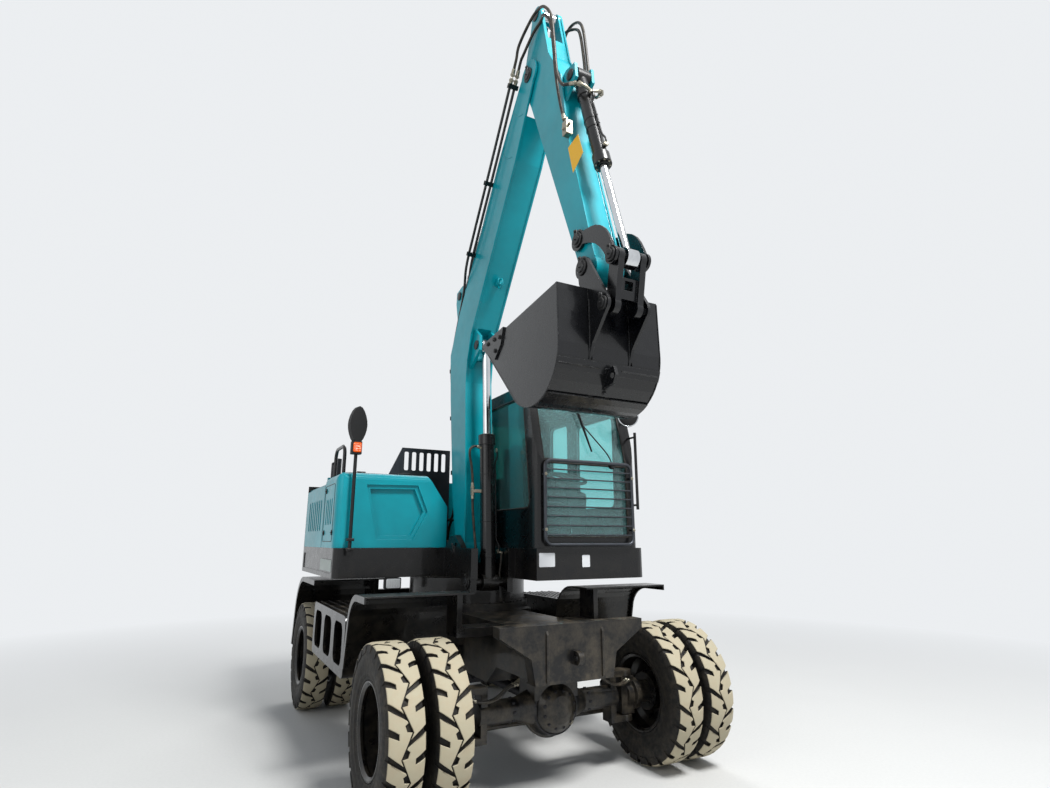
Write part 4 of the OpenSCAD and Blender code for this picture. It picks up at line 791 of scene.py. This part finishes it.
def add_cylinder_pipes():
    """The pipe along each barrel from its base port to its gland port, and the gland's bolts."""
    for name, base, eye, r, length in CYLINDERS:
        at = run(base, eye)
        ahead = ways(at)[0]

        def beside(d, off):
            # The boom's own barrel has them at its left, where the lowered boom clears them
            return at(d, 0, base.x + off) if name == "boom" else at(d, -off, base.x)
        form = Form()
        reach, near = r + 0.026, r + 0.014
        form.tube(smooth_line([beside(d, off) for d, off in (
            (0.26, reach - 0.002), (0.275, reach + 0.012), (0.31, reach + 0.010), (0.36, near), (0.45, near),
            (length - 0.30, near), (length - 0.24, near + 0.004), (length - 0.185, reach + 0.010),
            (length - 0.155, reach + 0.010), (length - 0.14, reach - 0.002))]), PIPE_R, 12)
        for d in (0.50, length - 0.36):
            form.ring(at(d, 0, base.x), ahead, r + 0.0015, 0.0025, 32, 6)
            form.ring(beside(d, near), ahead, PIPE_R + 0.001, 0.0025, 20, 6)
        for d in (0.25, length - 0.13):
            form.turned([(0.019, -0.010), (0.021, -0.008), (0.021, 0.004), (0.017, 0.008)],
                        beside(d, reach), beside(d, 1) - beside(d, 0), 6, slot=1)
        for a in circle(8, 0.5):
            out = (r + 0.0035) * 0.93
            form.bolt(at(length - 0.001, cos(a) * out, base.x + sin(a) * out), ahead, 0.0065, 1)
        # Wiper ring round the rod
        rod = r * 0.56
        form.turned([(rod + 0.004, -0.002), (rod + 0.014, -0.002), (rod + 0.012, 0.010),
                     (rod + 0.004, 0.012)], at(length, 0, base.x), ahead, closed=True)
        form.done(f"{name}_cylinder_pipes", f"{name}_barrel", BLACK, ZINC)


add_cylinder_pipes()

# The boom cylinder's hoses as name, body, side and rows of (along the barrel, out from its middle).
# The second goes from the gland's port down to an adapter on a bracket, and the third on to the deck.
LIFT_HOSES = (
    ("lift_hose", None, 1,
     ((0.25, 0.102), (0.235, 0.124), (0.17, 0.122), (0.08, 0.108), (0, 0.105))),
    ("barrel_hose", "boom_barrel", -1,
     ((1.155, 0.066), (1.165, 0.115), (1.140, 0.158), (1.085, 0.168), (0.99, 0.152), (0.88, 0.143),
      (0.80, 0.142))),
    ("barrel_return_hose", None, -1,
     ((0.73, 0.142), (0.60, 0.140), (0.40, 0.125), (0.20, 0.108), (0, 0.105))),
)


def add_foot_hoses():
    """Hoses from the deck up to the boom's leg, and to the boom's cylinder."""
    for k, off in enumerate((-0.095, -0.045, 0.045, 0.095)):
        inside = FOOT.x + off
        foot = inside * 1.2 + 0.01
        add_hose(f"foot_hose_{k}", None,
                 [(foot, 0.60, DECK_Z + 0.025), (foot, 0.595, DECK_Z + 0.13), (inside, 0.545, DECK_Z + 0.245),
                  on_leg(0.32, -0.31, inside), on_leg(0.42, -0.235, inside)],
                 ends=(1, 0), blend=("upper", "boom", vec(inside, 0.56, 1.75), vec(inside, 0.36, 1.85)))
    at, x = run(BOOM_BASE, BOOM_EYE), BOOM_BASE.x
    joint = ("upper", "boom_barrel", vec(x, -0.14, 1.20), vec(x, -0.235, 1.33))
    for name, body, sign, rows in LIFT_HOSES:
        line = [at(d, 0, x + sign * off) for d, off in rows]
        if not body:
            line += [(x + sign * 0.105, -0.165, 1.225), (x + sign * 0.105, -0.11, 1.20)]
        add_hose(name, body, line, r=LIFT_HOSE_R, blend=None if body else joint)
    form = Form()
    form.rod(at(0.725, 0, x - 0.142), at(0.805, 0, x - 0.142), 0.012, 12)
    form.brick(at(0.765, 0, x - 0.109), (0.051, 0.014, 0.014))
    form.done("barrel_hose_bracket", "boom_barrel", ZINC)


add_foot_hoses()

# Weld beads along the plates' edges, as (line, rows of (along, off))
BOOM_BEADS = ((on_leg, ((0.10, 0.086), (0.5, 0.121), (1.55, 0.147))),
              (on_leg, ((0.05, -0.080), (0.5, -0.169), (1.5, -0.219), (1.9, -0.219))),
              (on_boom, ((2.20, 0.217), (0.72, 0.179))), (on_boom, ((2.2, -0.179), (0.72, -0.179))))
ARM_BEADS = ((on_arm, ((0.32, 0.094), (2.2, 0.070))),
             (on_arm, ((2.2, -0.080), (1.1, -0.189), (0.52, -0.319))))
PLATE_EDGE = 0.0155


def add_boom_details():
    """A ring bracket under the boom, weld beads along the plates, and the arm's blank sticker."""
    form = Form()
    at = on_boom(1.76, -0.215, FOOT.x)
    form.ring(at + vec(0, -0.03, -0.03), X, 0.045, 0.009, 24)
    form.brick(at + Y * 0.02, (0.02, 0.04, 0.03), 0.004)
    form.done("ring_bracket", "boom", TEAL)
    for body, half, beads, bows in (("boom", BOOM_SIDE, BOOM_BEADS, (0.34, 0.70)),
                                    ("arm", ARM_SIDE, ARM_BEADS, ())):
        form = Form()
        for sign in (1, -1):
            for place, rows in beads:
                form.tube([place(d, off, FOOT.x + sign * (half - PLATE_EDGE)) for d, off in rows], BEAD_R, 6)
            for d in bows:
                form.tube(smooth_line([on_boom(d - back, off, FOOT.x + sign * (half + 0.001))
                                       for back, off in ((0.02, -0.1), (0, 0), (0.02, 0.1))]), 0.0035, 6)
        form.done(f"{body}_weld_beads", body, TEAL)
    form = Form()
    outline = ((-1.928, 4.450), (-1.986, 4.265), (-1.851, 4.177), (-1.791, 4.422))
    x = FOOT.x - ARM_SIDE - 0.0008
    form.loft([[(x + thick, y, z) for y, z in outline] for thick in (0, 0.0012)])
    form.done("arm_sticker", "arm", STICKER)


add_boom_details()


# Bucket: bolts on the side cutters, pins through the teeth, weld beads and wear bands
HEEL = vec(FOOT.x, -1.738, 2.790)
HEEL_R = 0.350
BUCKET_HALF = 0.400
EAR = 0.144


def on_heel(x, degrees, out=0.0):
    """A place on the bucket's round back, across from its middle."""
    a = radians(degrees)
    return HEEL + vec(x, (HEEL_R + out) * cos(a), (HEEL_R + out) * sin(a))


def add_bucket_details():
    form = Form()
    for sign in (1, -1):
        for y, z in ((-1.080, 3.055), (-1.190, 3.060), (-1.285, 3.050), (-1.210, 2.965)):
            form.bolt((FOOT.x + sign * (BUCKET_HALF + 0.014), y, z), X * sign, 0.014)
    for i in range(5):
        x = FOOT.x - BUCKET_HALF + 0.065 + i * 0.1675
        form.rod((x - 0.042, -0.972, 3.052), (x + 0.042, -0.972, 3.052), 0.010, 12)
    form.done("bucket_bolts", "bucket", BLACK_IRON)
    form = Form()
    for sign in (1, -1):
        edge = sign * (BUCKET_HALF - 0.001)
        form.tube([vec(FOOT.x + edge, -2.079, 3.17), *(on_heel(edge, a) for a in range(180, 316, 6)),
                   vec(FOOT.x + edge, -0.970, 3.058)], BEAD_R, 6)
        # Where the ears meet the back
        for x in (EAR, EAR + 0.022):
            form.tube([vec(FOOT.x + sign * x, y, z)
                       for y, z in ((-2.088, 3.10), (-2.089, 2.86), (-2.082, 2.70))], BEAD_R, 6)
    form.done("bucket_weld_beads", "bucket", BUCKET)
    # Wear bands are welded on in two halves, with a short strip and two dots between them
    form = Form()
    for a, width in ((202, 0.012), (236, 0.010), (262, 0.010)):
        for x0, x1 in ((-0.392, -0.085), (-0.045, 0.045), (0.085, 0.392)):
            form.rod(on_heel(x0, a, 0.008), on_heel(x1, a, 0.008), width / 2, 8)
    for a in (222, 229):
        at = on_heel(0, a)
        form.bolt(at + X * 0.02, at - HEEL, 0.012)
    form.done("bucket_wear_edges", "bucket", BUCKET)


add_bucket_details()


# Cab: window seals, wiper, mirrors' glass, handles and what shows inside
CAB_LO = vec(0.145, -0.718, 1.5303)
CAB_HI = vec(1.180, 0.842, 2.9503)
CAB_MID = (CAB_LO.x + CAB_HI.x) / 2
FLOOR_Z = 1.5756
SCREEN_X = (CAB_LO.x + 0.075, CAB_HI.x - 0.110)
SCREEN_Z = CAB_HI.z - 0.700
SCREEN_FOOT = vec(0, CAB_LO.y, SCREEN_Z)
SCREEN_HEAD = vec(0, -0.569, 2.835)


def in_cab(x, y, z):
    """A place in the cab: across from its middle, back from its front, up from its floor."""
    return vec(CAB_MID + x, CAB_LO.y + y, FLOOR_Z + z)


def on_screen(x, up, out):
    """A place on the slanted windscreen: across, up from its foot, and out from the cab's skin."""
    along = (SCREEN_HEAD - SCREEN_FOOT).normalized()
    return SCREEN_FOOT + along * up + vec(0, -along.z, along.y) * out + X * x


def side_window():
    """Outline of the right-hand window as (y, z)."""
    y0, y1, top, low = CAB_LO.y, CAB_HI.y, CAB_HI.z, 1.530
    return (arc((y1 - 0.170, top - 0.170), 0.06, 0, 90, 4) + arc((y0 + 0.330, top - 0.220), 0.11, 90, 160, 5)
            + arc((y0 + 0.180, low + 0.390), 0.06, 180, 270, 4)
            + arc((y1 - 0.170, low + 0.390), 0.06, 270, 360, 4))


def add_seals():
    """Rubber seals round the panes, pressed into the openings, and the film of the right-hand pane."""
    top = CAB_HI.z - 0.130
    rear = round_box((CAB_LO.x + 0.110, 2.230), (CAB_HI.x - 0.110, top), 0.06)
    back = round_box((0.382, 2.230), (CAB_HI.y - 0.090, top), 0.06)
    low = round_box((SCREEN_X[0], 1.620), (SCREEN_X[1], SCREEN_Z - 0.015), 0.012)
    high = round_box((SCREEN_X[0], 0.015), (SCREEN_X[1], 0.528), 0.012)
    door = round_box((-0.438, 1.890), (0.212, 2.7603), 0.06)

    def add_seal(name, body, lines):
        form = Form()
        for line in lines:
            form.tube(line, 0.009, 8, True)
        form.done(name, body, SEAL)

    add_seal("cab_seals", "upper", (
        [vec(CAB_LO.x + 0.004, y, z) for y, z in side_window()],
        [vec(x, CAB_HI.y - 0.004, z) for x, z in rear],
        [vec(CAB_HI.x - 0.004, y, z) for y, z in back],
        [vec(x, CAB_LO.y + 0.006, z) for x, z in low],
        [on_screen(x, up, -0.006) for x, up in high]))
    form = Form()
    form.plate(side_window(), (CAB_LO.x + 0.028, 0, 0), Y, Z, 0.002)
    form.done("side_window_film", "upper", DARK_PANE)
    add_seal("door_seal", "cab_door", [[vec(CAB_HI.x - d, y, z) for y, z in door] for d in (0.003, 0.042)])


add_seals()


def add_wiper():
    """The windscreen's wiper: its pivot, arm, blade frame and blade."""
    form = Form()
    base = on_screen(0.90, -0.02, 0.012)
    form.turned([(0.028, -0.010), (0.030, 0.0), (0.030, 0.016), (0.022, 0.024)], base,
                on_screen(0, 0, 1) - on_screen(0, 0, 0), 24)
    form.tube(smooth_line([base - Y * 0.018, on_screen(0.86, 0.08, 0.034), on_screen(0.75, 0.22, 0.034),
                           on_screen(0.66, 0.34, 0.026)]), 0.006)
    form.tube([on_screen(0.71, 0.12, 0.014), on_screen(0.70, 0.13, 0.026), on_screen(0.63, 0.50, 0.026),
               on_screen(0.62, 0.51, 0.014)], 0.005)
    form.plate(corners(0, 0, 0.006, 0.40), on_screen(0.715, 0.105, 0.004), vec(0, -0.97, 0.25) * 3,
               (on_screen(0.62, 0.51, 0.01) - on_screen(0.71, 0.12, 0.01)) / 0.40, 0.005)
    form.done("wiper", "upper", TRIM)


add_wiper()

# The oval mirror's stalk, and the round mirror's middle
STALK_X, STALK_Y = -1.130, 0.250
DISC = vec(1.060, -0.788, 2.688)


def add_mirror_parts():
    """Mirror glass behind both heads, the round one's bright ring, and the lamp under the oval one."""
    x, y = STALK_X, STALK_Y
    turn = radians(12)
    side, out = vec(cos(turn), sin(turn), 0), vec(-sin(turn), cos(turn), 0)
    oval = [(0.066 * cos(a), 0.130 * sin(a) * (1 - 0.12 * cos(2 * a))) for a in circle(40)]
    form = Form()
    head = vec(x, y, 2.590) + out * 0.0285
    form.loft([[head + side * u * k + Z * v * k + out * d for u, v in oval]
               for k, d in ((1.0, -0.002), (1.0, 0.002), (0.93, 0.004))])
    turn = radians(-25)
    away = vec(sin(turn), -cos(turn), 0)
    form.turned([(0.086, 0.0165), (0.086, 0.0190), (0.080, 0.0205)], DISC, -away, 40)
    form.done("mirror_glass", "upper", MIRROR)
    form = Form()
    form.ring(DISC + away * 0.015, away, 0.091, 0.0065, 48)
    form.turned([(0.086, 0.016), (0.080, 0.022), (0.060, 0.030), (0.03, 0.034)], DISC, away, 40, slot=1)
    form.done("mirror_ring", "upper", CHROME, TRIM)
    form = Form()
    form.plate(round_box((-0.036, 0), (0.036, 0.086), 0.012), (x, y - 0.0445, 2.342), X, Z, 0.010, 0.003)
    for z in (2.358 + k * 0.0135 for k in range(5)):
        form.rod((x - 0.032, y - 0.054, z), (x + 0.032, y - 0.054, z), 0.003, 8)
    form.done("stalk_lamp_lens", "upper", AMBER)
    form = Form()
    for z in (1.52, 1.60):
        form.brick((x, y + 0.00875, z), (0.030, 0.03275, 0.012), 0.003)
        form.bolt((x, y - 0.024, z), -Y, 0.009)
    form.rod((x, y - 0.004, 2.450), (x, y - 0.004, 2.475), 0.022)
    form.done("stalk_clamps", "upper", BLACK_IRON)


add_mirror_parts()

# The counterweight's round back: half its width, how far it bulges, its rearmost place and its radius
TAIL_HALF, TAIL_BULGE, TAIL_Y = 1.252, 0.420, 2.362
TAIL_R = (TAIL_HALF ** 2 + TAIL_BULGE ** 2) / (2 * TAIL_BULGE)


def tail_y(x):
    return TAIL_Y - TAIL_R + sqrt(TAIL_R ** 2 - x * x)


def add_lamps():
    """Ribbed lens of the front lamp, and two lenses in each tail lamp."""
    form = Form()
    form.plate(round_box((-0.802, 1.194), (-0.678, 1.272), 0.012), (0, 0.243, 0), X, Z, 0.008, 0.003)
    for x in (-0.790 + k * 0.020 for k in range(6)):
        form.rod((x, 0.235, 1.205), (x, 0.235, 1.262), 0.004, 8)
    form.done("front_lamp_lens", "upper", LENS)
    form = Form()
    turn = asin(1 / TAIL_R)
    for sign in (1, -1):
        at = vec(sign, tail_y(1), 1.460) + vec(sign * sin(turn), cos(turn), 0) * 0.0215
        for u0, u1 in ((-0.064, -0.003), (0.003, 0.064)):
            form.plate(round_box((u0, -0.034), (u1, 0.034), 0.008, 3), at,
                       vec(cos(turn), -sign * sin(turn), 0), Z, 0.007, 0.002)
    form.done("tail_lamp_lens", "upper", RED)


add_lamps()


def add_grilles():
    """Slats behind the air slots of the housing, the side door and the right cover."""
    x, y = HOUSING.x, HOUSING.y
    for name, body, lo, hi, first, step, count, backing in (
            ("housing_grille", "upper", (x + 0.020, y + 0.09), (x + 0.034, 1.900), 1.675, 0.020, 16,
             ((x + 0.046, y + 0.08, 1.660), (x + 0.052, 1.905, 2.000))),
            ("door_grille", "side_door", (1.209, 1.055), (1.222, 1.830), 1.690, 0.019, 13,
             ((1.2035, 1.045, 1.680), (1.2085, 1.840, 1.940)))):
        form = Form()
        for z in (first + k * step for k in range(count)):
            form.block((*lo, z), (*hi, z + 0.006), 0.001)
        form.block(*backing, 0.001)
        form.done(name, body, TRIM)
    form = Form()
    for i in range(4):
        for k in range(3):
            y = 0.5185 + i * 0.080 + k * 0.0105
            form.brick((-1.23725, y, 1.845), (0.00325, 0.0035, 0.110), 0.001)
    form.done("cover_slats", "upper", TRIM)


add_grilles()


def latch(form, at, out, r, height):
    """A round latch on a side wall, with a grip across it."""
    form.turned([(r, -0.002), (r, 0.004), (0.018, height), (0.008, height)], at, out, 24)
    form.brick(at + out * 0.010, (0.003, 0.018, 0.004), 0.001)


def add_cover_fittings():
    """Latches, seams, fuel cap and handles on the covers and the counterweight."""
    form = Form()
    for y, z in ((0.44, 1.66), (0.82, 1.66), (0.82, 2.04)):
        latch(form, vec(-1.2505, y, z), -X, 0.024, 0.008)
    form.turned([(0.055, -0.002), (0.055, 0.012), (0.050, 0.020), (0.046, 0.034), (0.040, 0.038)],
                (-0.98, 0.66, COVER_TOP), Z, 24)
    form.brick((-0.98, 0.66, COVER_TOP + 0.038), (0.04, 0.008, 0.008), 0.003)
    form.tube(smooth_line([(x, 0.70, COVER_TOP + up) for x, up in (
        (-0.62, -0.002), (-0.62, 0.03), (-0.60, 0.045), (-0.50, 0.045), (-0.48, 0.03), (-0.48, -0.002))]),
              0.007)
    form.done("cover_latches", "upper", TRIM)
    # Gaskets of the cover's lid and of its side door
    form = Form()
    form.tube([vec(x, y, COVER_TOP) for x, y in round_box((-1.19, 0.38), (-0.50, 0.84), 0.05)],
              0.0035, 6, True)
    form.tube([vec(-1.2500, y, z) for y, z in round_box((0.43, 1.585), (0.875, 2.085), 0.03)], 0.003, 6, True)
    form.done("cover_seams", "upper", SEAL)
    # The hood's two handles and two slotted vents
    form = Form()
    for x in (-0.45, 0.75):
        at = vec(x, 1.905, 2.18)
        form.brick(at + Z * 0.003, (0.05, 0.012, 0.005), 0.003)
        form.tube(smooth_line([at + vec(dx, 0, up) for dx, up in (
            (-0.04, 0.004), (-0.035, 0.020), (0.035, 0.020), (0.04, 0.004))]), 0.005)
    for x in (-0.55, 0.85):
        form.plate(round_box((x - 0.11, 1.18), (x + 0.11, 1.62), 0.03), (0, 0, 2.1795), X, Y, 0.004, 0.001)
        for k in range(9):
            form.brick((x, 1.2325 + k * 0.042, 2.1865), (0.085, 0.0075, 0.0035))
    form.done("hood_fittings", "hood", TRIM)
    form = Form()
    latch(form, vec(1.2505, 1.10, 1.64), X, 0.026, 0.009)
    form.done("side_door_latch", "side_door", TRIM)
    form = Form()
    for z, inset in ((1.385, 0), (2.06, 0.013)):
        form.tube([vec(x, tail_y(x) - inset, z) for x in (-1.19 + 2.38 * i / 40 for i in range(41))],
                  0.004, 6)
    form.done("counterweight_seams", "upper", SEAL)
    form = Form()
    for x in (-0.68, -0.56, 0.56, 0.68):
        form.bolt((x, 2.10, 2.170), Z, 0.016)
    form.done("counterweight_bolts", "upper", BLACK_IRON)


add_cover_fittings()


def add_cab_fittings():
    """The door's lock, blank plates, and bolts of the guard's feet and of the roof."""
    form = Form()
    form.turned([(0.017, -0.002), (0.017, 0.004), (0.012, 0.006)], (CAB_HI.x, -0.435, 2.215), X, 24)
    form.done("door_lock", "cab_door", ZINC)
    form = Form()
    for x0, z0, x1, z1 in ((0.166, 1.385, 0.314, 1.495), (0.578, 1.377, 0.655, 1.475)):
        form.plate(round_box((x0, z0), (x1, z1), 0.008, 2), (0, CAB_LO.y + 0.0005, 0), X, Z, 0.003, 0.0008)
    form.done("blank_plates", "upper", WHITE)
    form = Form()
    form.plate(round_box((0.36, 1.335), (0.88, 1.432), 0.006, 2), (-1.2525, 0, 0), Y, Z, 0.003, 0.0008)
    form.done("blank_skirt_plate", "upper", STICKER_PALE)
    form = Form()
    for x in (0.205, 1.090):
        for z in (1.68, 2.13):
            form.bolt((x, -0.7735, z), -Y, 0.010)
    for x in (0.30, 1.02):
        for y in (-0.1, 0.55):
            form.bolt((x, y, CAB_HI.z), Z, 0.013)
    form.done("guard_bolts", "upper", ZINC)


add_cab_fittings()

RING_Y, RING_R = 0.362, 0.546
BRAKE_LINE = ((0.30, -1.235, 0.665), (0.36, -1.25, 0.655), (0.45, -1.262, 0.60), (0.545, -1.258, 0.585),
              (0.615, -1.235, 0.60))


def add_chassis_details():
    """Bolts of the swing ring and the axles, brake hoses to the knuckles, and studs on the steps."""
    form = Form()
    for a in circle(28):
        form.bolt((RING_R * cos(a), RING_Y + RING_R * sin(a), 1.070), Z, 0.0085)
    form.done("ring_bolts", "chassis", BLACK_IRON)
    form = Form()
    for end, sign in (("front", -1), ("rear", 1)):
        centre = vec(0, AXLES[end], AXLE_Z)
        for a in circle(12, 0.5):
            out = vec(0.62 * cos(a), sign * 0.785, 0.62 * sin(a)).normalized()
            form.bolt(centre + out * 0.1875, out, 0.009)
        form.ring(centre + Y * sign * 0.100, Y, 0.1625, 0.006, 48)
        out = vec(0.50, sign * 0.71, -0.47).normalized()
        form.turned([(0.017, -0.004), (0.017, 0.010), (0.014, 0.012)], centre + out * 0.1885, out, 6, slot=1)
    form.done("axle_cover_bolts", "chassis", CAST, ZINC)
    form = Form()
    for x in (0.30, -0.30):
        for a in circle(8):
            for y in AXLES.values():
                at = vec(x, y + 0.0735 * cos(a), AXLE_Z + 0.0735 * sin(a))
                form.rod(at - X * 0.010, at + X * 0.010, 0.009, 8)
    form.done("axle_flange_bolts", "chassis", CAST)
    for side, sign in SIDES:
        for k in range(2):
            add_hose(f"brake_hose_{side}_{k}", None, [(sign * x, y + 0.03 * k, z) for x, y, z in BRAKE_LINE],
                     r=0.008, blend=("chassis", f"knuckle_{side}", vec(sign * 0.42, -1.2, 0.6),
                                     vec(sign * 0.60, -1.2, 0.6)))
    for side, sign in SIDES:
        form = Form()
        for i in range(20):
            for j in range(5):
                at = vec(sign * (0.900 + 0.075 * j), -0.285 + 0.0625 * i + 0.031 * (j % 2), 1.0495)
                form.turned([(0.013, 0), (0.013, 0.003), (0.009, 0.006)], at, Z, 10)
        form.done(f"step_studs_{side}", "chassis", CHASSIS)


add_chassis_details()


# Seat: a crowned cushion, a back with sewn channels and a headrest, on a bellows
# Name, middle, size across, through and along, tilt, places of the sewn channels, and crown
PADS = (
    ("seat_cushion", in_cab(0, 0.922, 0.325), (0.485, 0.125, 0.515), 90, (-0.35, 0.1, 0.5), 0.012),
    ("seat_back", in_cab(0, 1.172, 0.665), (0.455, 0.120, 0.560), -5.5, (-0.55, -0.2, 0.15, 0.5), 0.014),
    ("seat_headrest", in_cab(0, 1.215, 0.915), (0.270, 0.085, 0.150), -5.5, (), 0.01),
)


def superellipse(a, power):
    return [copysign(abs(c) ** (2 / power), c) for c in (cos(a), sin(a))]


def pad(name, centre, size, tilt, channels, crown):
    """A stuffed pad: its sides pull in between the corners, and the channels are sewn across its face."""
    across, deep, high = size
    rows, thinnest, seam_depth = 25, 0.12, 0.010
    turn = Matrix.Rotation(radians(tilt), 3, "X")
    rings = []
    for t in (-1 + 2 * j / (rows - 1) for j in range(rows)):
        close = max(1 - abs(t) ** 5, thinnest ** 2) ** 0.5
        seam = sum(exp(-((t - c) / 0.045) ** 2) for c in channels)
        ring = []
        for u, w in (superellipse(a, 4.2) for a in circle(48)):
            waist = 1 - 0.05 * (1 - abs(u)) if abs(w) > 0.9 else 1
            front = crown * (1 - u * u) * (1 - t * t) - seam_depth * seam if w < 0 else 0
            ring.append(centre + turn @ vec(u * across / 2 * (0.93 + 0.07 * close),
                                            w * deep / 2 * close - front * (w < -0.2), t * high / 2 * waist))
        rings.append(ring)
    form = Form()
    form.loft(rings)
    piece = form.done(name, "upper", CLOTH, sharp=60)
    return piece


def piping(form, centre, size, tilt):
    """The cord sewn round a pad's face."""
    turn = Matrix.Rotation(radians(tilt), 3, "X")
    form.tube([centre + turn @ vec(u * size[0] / 2 * 0.985, -0.045, w * size[2] / 2 * 0.965)
               for u, w in (superellipse(a, 5) for a in circle(48))], 0.005, 6, True)


def add_seat():
    cushion, back, rest = [pad(*row) for row in PADS]
    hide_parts("seat")
    form = Form()
    for name, centre, size, tilt, channels, crown in PADS:
        if channels:
            piping(form, centre, size, tilt)
    form.done("seat_piping", "upper", SEAL)
    form = Form()
    form.loft([[in_cab(x, 0.935 + y, 0.045 + 0.020 * k) for x, y in round_box((-h, -h), (h, h), 0.03, 3)]
               for k, h in enumerate((0.160, 0.180) * 5 + (0.160,))])
    form.brick(in_cab(0, 0.935, 0.0225), (0.19, 0.195, 0.0225), 0.004)
    form.brick(in_cab(0, 0.93, 0.254), (0.19, 0.21, 0.014), 0.004)
    for sign in (1, -1):
        form.brick(in_cab(sign * 0.215, 1.135, 0.375), (0.012, 0.035, 0.125), 0.003)
        form.rod(in_cab(sign * 0.07, 1.20, 0.80), in_cab(sign * 0.07, 1.215, 0.92), 0.006)
    form.done("seat_base", "upper", TRIM)


add_seat()


def add_cab_inside():
    """A monitor on the right pillar, pedals, boots of the levers and a floor mat."""
    form = Form()
    at = vec(CAB_LO.x + 0.16, CAB_LO.y + 0.24, 2.17)
    form.brick(at, (0.075, 0.018, 0.06), 0.006)
    form.tube(smooth_line([at + vec(0, -0.01, -0.06), at + vec(-0.03, -0.03, -0.16),
                           at + vec(-0.09, -0.05, -0.25)]), 0.012)
    for s in (-1, 1):
        form.turned([(0.052, 0.470), (0.054, 0.484), (0.040, 0.490), (0.044, 0.500), (0.030, 0.508),
                     (0.034, 0.518), (0.020, 0.530)], in_cab(s * 0.335, 0.72, 0), Z, 24)
        for k in range(3):
            form.turned([(0.009, 0), (0.008, 0.006), (0.004, 0.008)],
                        in_cab(s * (0.300 + 0.035 * k), 0.86, 0.480), Z, 12)
        form.plate(round_box((-0.045, 0), (0.045, 0.14), 0.015, 3), in_cab(s * 0.15, 0.20, 0.03),
                   X, vec(0, -0.5, 0.86), 0.008, 0.002)
    form.block(in_cab(-0.40, 0.10, -0.0005), in_cab(0.40, 0.68, 0.006))
    form.done("cab_trim", "upper", TRIM)
    form = Form()
    form.brick(at + Y * 0.0185, (0.066, 0.001, 0.050), 0.0005)
    form.done("monitor_glass", "upper", MIRROR)


add_cab_inside()


# Studio: a pale floor that runs out into a plain backdrop, and soft light
BACKDROP = linear((0.925, 0.935, 0.945))
SKY = linear((0.93, 0.96, 1.0))
SKY_LIGHT = 0.42
FLOOR_HALF = 60
FADE = (3.0, 10)
# Name, place, aim, power and width
LAMPS = (("key", (1.5, -7, 11), (0, 0, 2), 1900, 3), ("fill", (-8, -4, 5), (0, 0, 2), 120, 5),
         ("back", (3, 8, 9), (0, 0, 2.5), 420, 5))


def add_floor():
    mesh = bpy.data.meshes.new("floor")
    outline = corners(-FLOOR_HALF, -FLOOR_HALF, FLOOR_HALF, FLOOR_HALF)
    mesh.from_pydata([(x, y, 0) for x, y in outline], [], [(0, 1, 2, 3)])
    floor = add_object("floor", mesh)
    s = Shader("floor")
    pale = linear((0.80, 0.80, 0.79))
    speckle = s.mix(s.noise(0.6), pale, scaled(pale, 0.93))
    s.set(Base_Color=s.mix(s.ramp(s.noise(45, 6), 0.4, 0.7, 0, 0.25), speckle, scaled(pale, 0.8)),
          Roughness=0.75)
    far = s.node("ShaderNodeVectorMath", {0: s.place}, operation="LENGTH").outputs["Value"]
    glow = s.node("ShaderNodeEmission", {"Color": BACKDROP}).outputs["Emission"]
    faded = s.node("ShaderNodeMixShader", {0: s.ramp(far, *FADE, 0, 1), 1: s.bsdf.outputs["BSDF"], 2: glow})
    s.plug(faded.outputs["Shader"], s.tree.nodes["Material Output"].inputs["Surface"])
    mesh.materials.append(s.material)


def add_world():
    """The backdrop as the camera, mirrors and glass see it, and a softer light from the same side."""
    world = bpy.data.worlds.new("studio")
    world.use_nodes = True
    bpy.context.scene.world = world
    sky = Nodes(world.node_tree)
    sky.tree.nodes.clear()
    shown = sky.node("ShaderNodeBackground", {"Color": BACKDROP}).outputs["Background"]
    light = sky.node("ShaderNodeBackground", {"Color": SKY, "Strength": SKY_LIGHT}).outputs["Background"]
    rays = sky.node("ShaderNodeLightPath").outputs
    seen = rays["Is Camera Ray"]
    for ray in ("Is Glossy Ray", "Is Transmission Ray"):
        seen = sky.node("ShaderNodeMath", {0: seen, 1: rays[ray]}, operation="MAXIMUM").outputs["Value"]
    mixed = sky.node("ShaderNodeMixShader", {0: seen, 1: light, 2: shown}).outputs["Shader"]
    sky.node("ShaderNodeOutputWorld", {"Surface": mixed})


def add_studio():
    add_floor()
    add_world()
    for name, at, aim, power, width in LAMPS:
        data = bpy.data.lights.new(name, "AREA")
        data.energy = power
        data.size = width
        lamp = add_object(name, data)
        lamp.location = at
        lamp.rotation_euler = (Vector(aim) - Vector(at)).to_track_quat("-Z", "Y").to_euler()
    bpy.context.scene.view_settings.view_transform = "Standard"


add_studio()
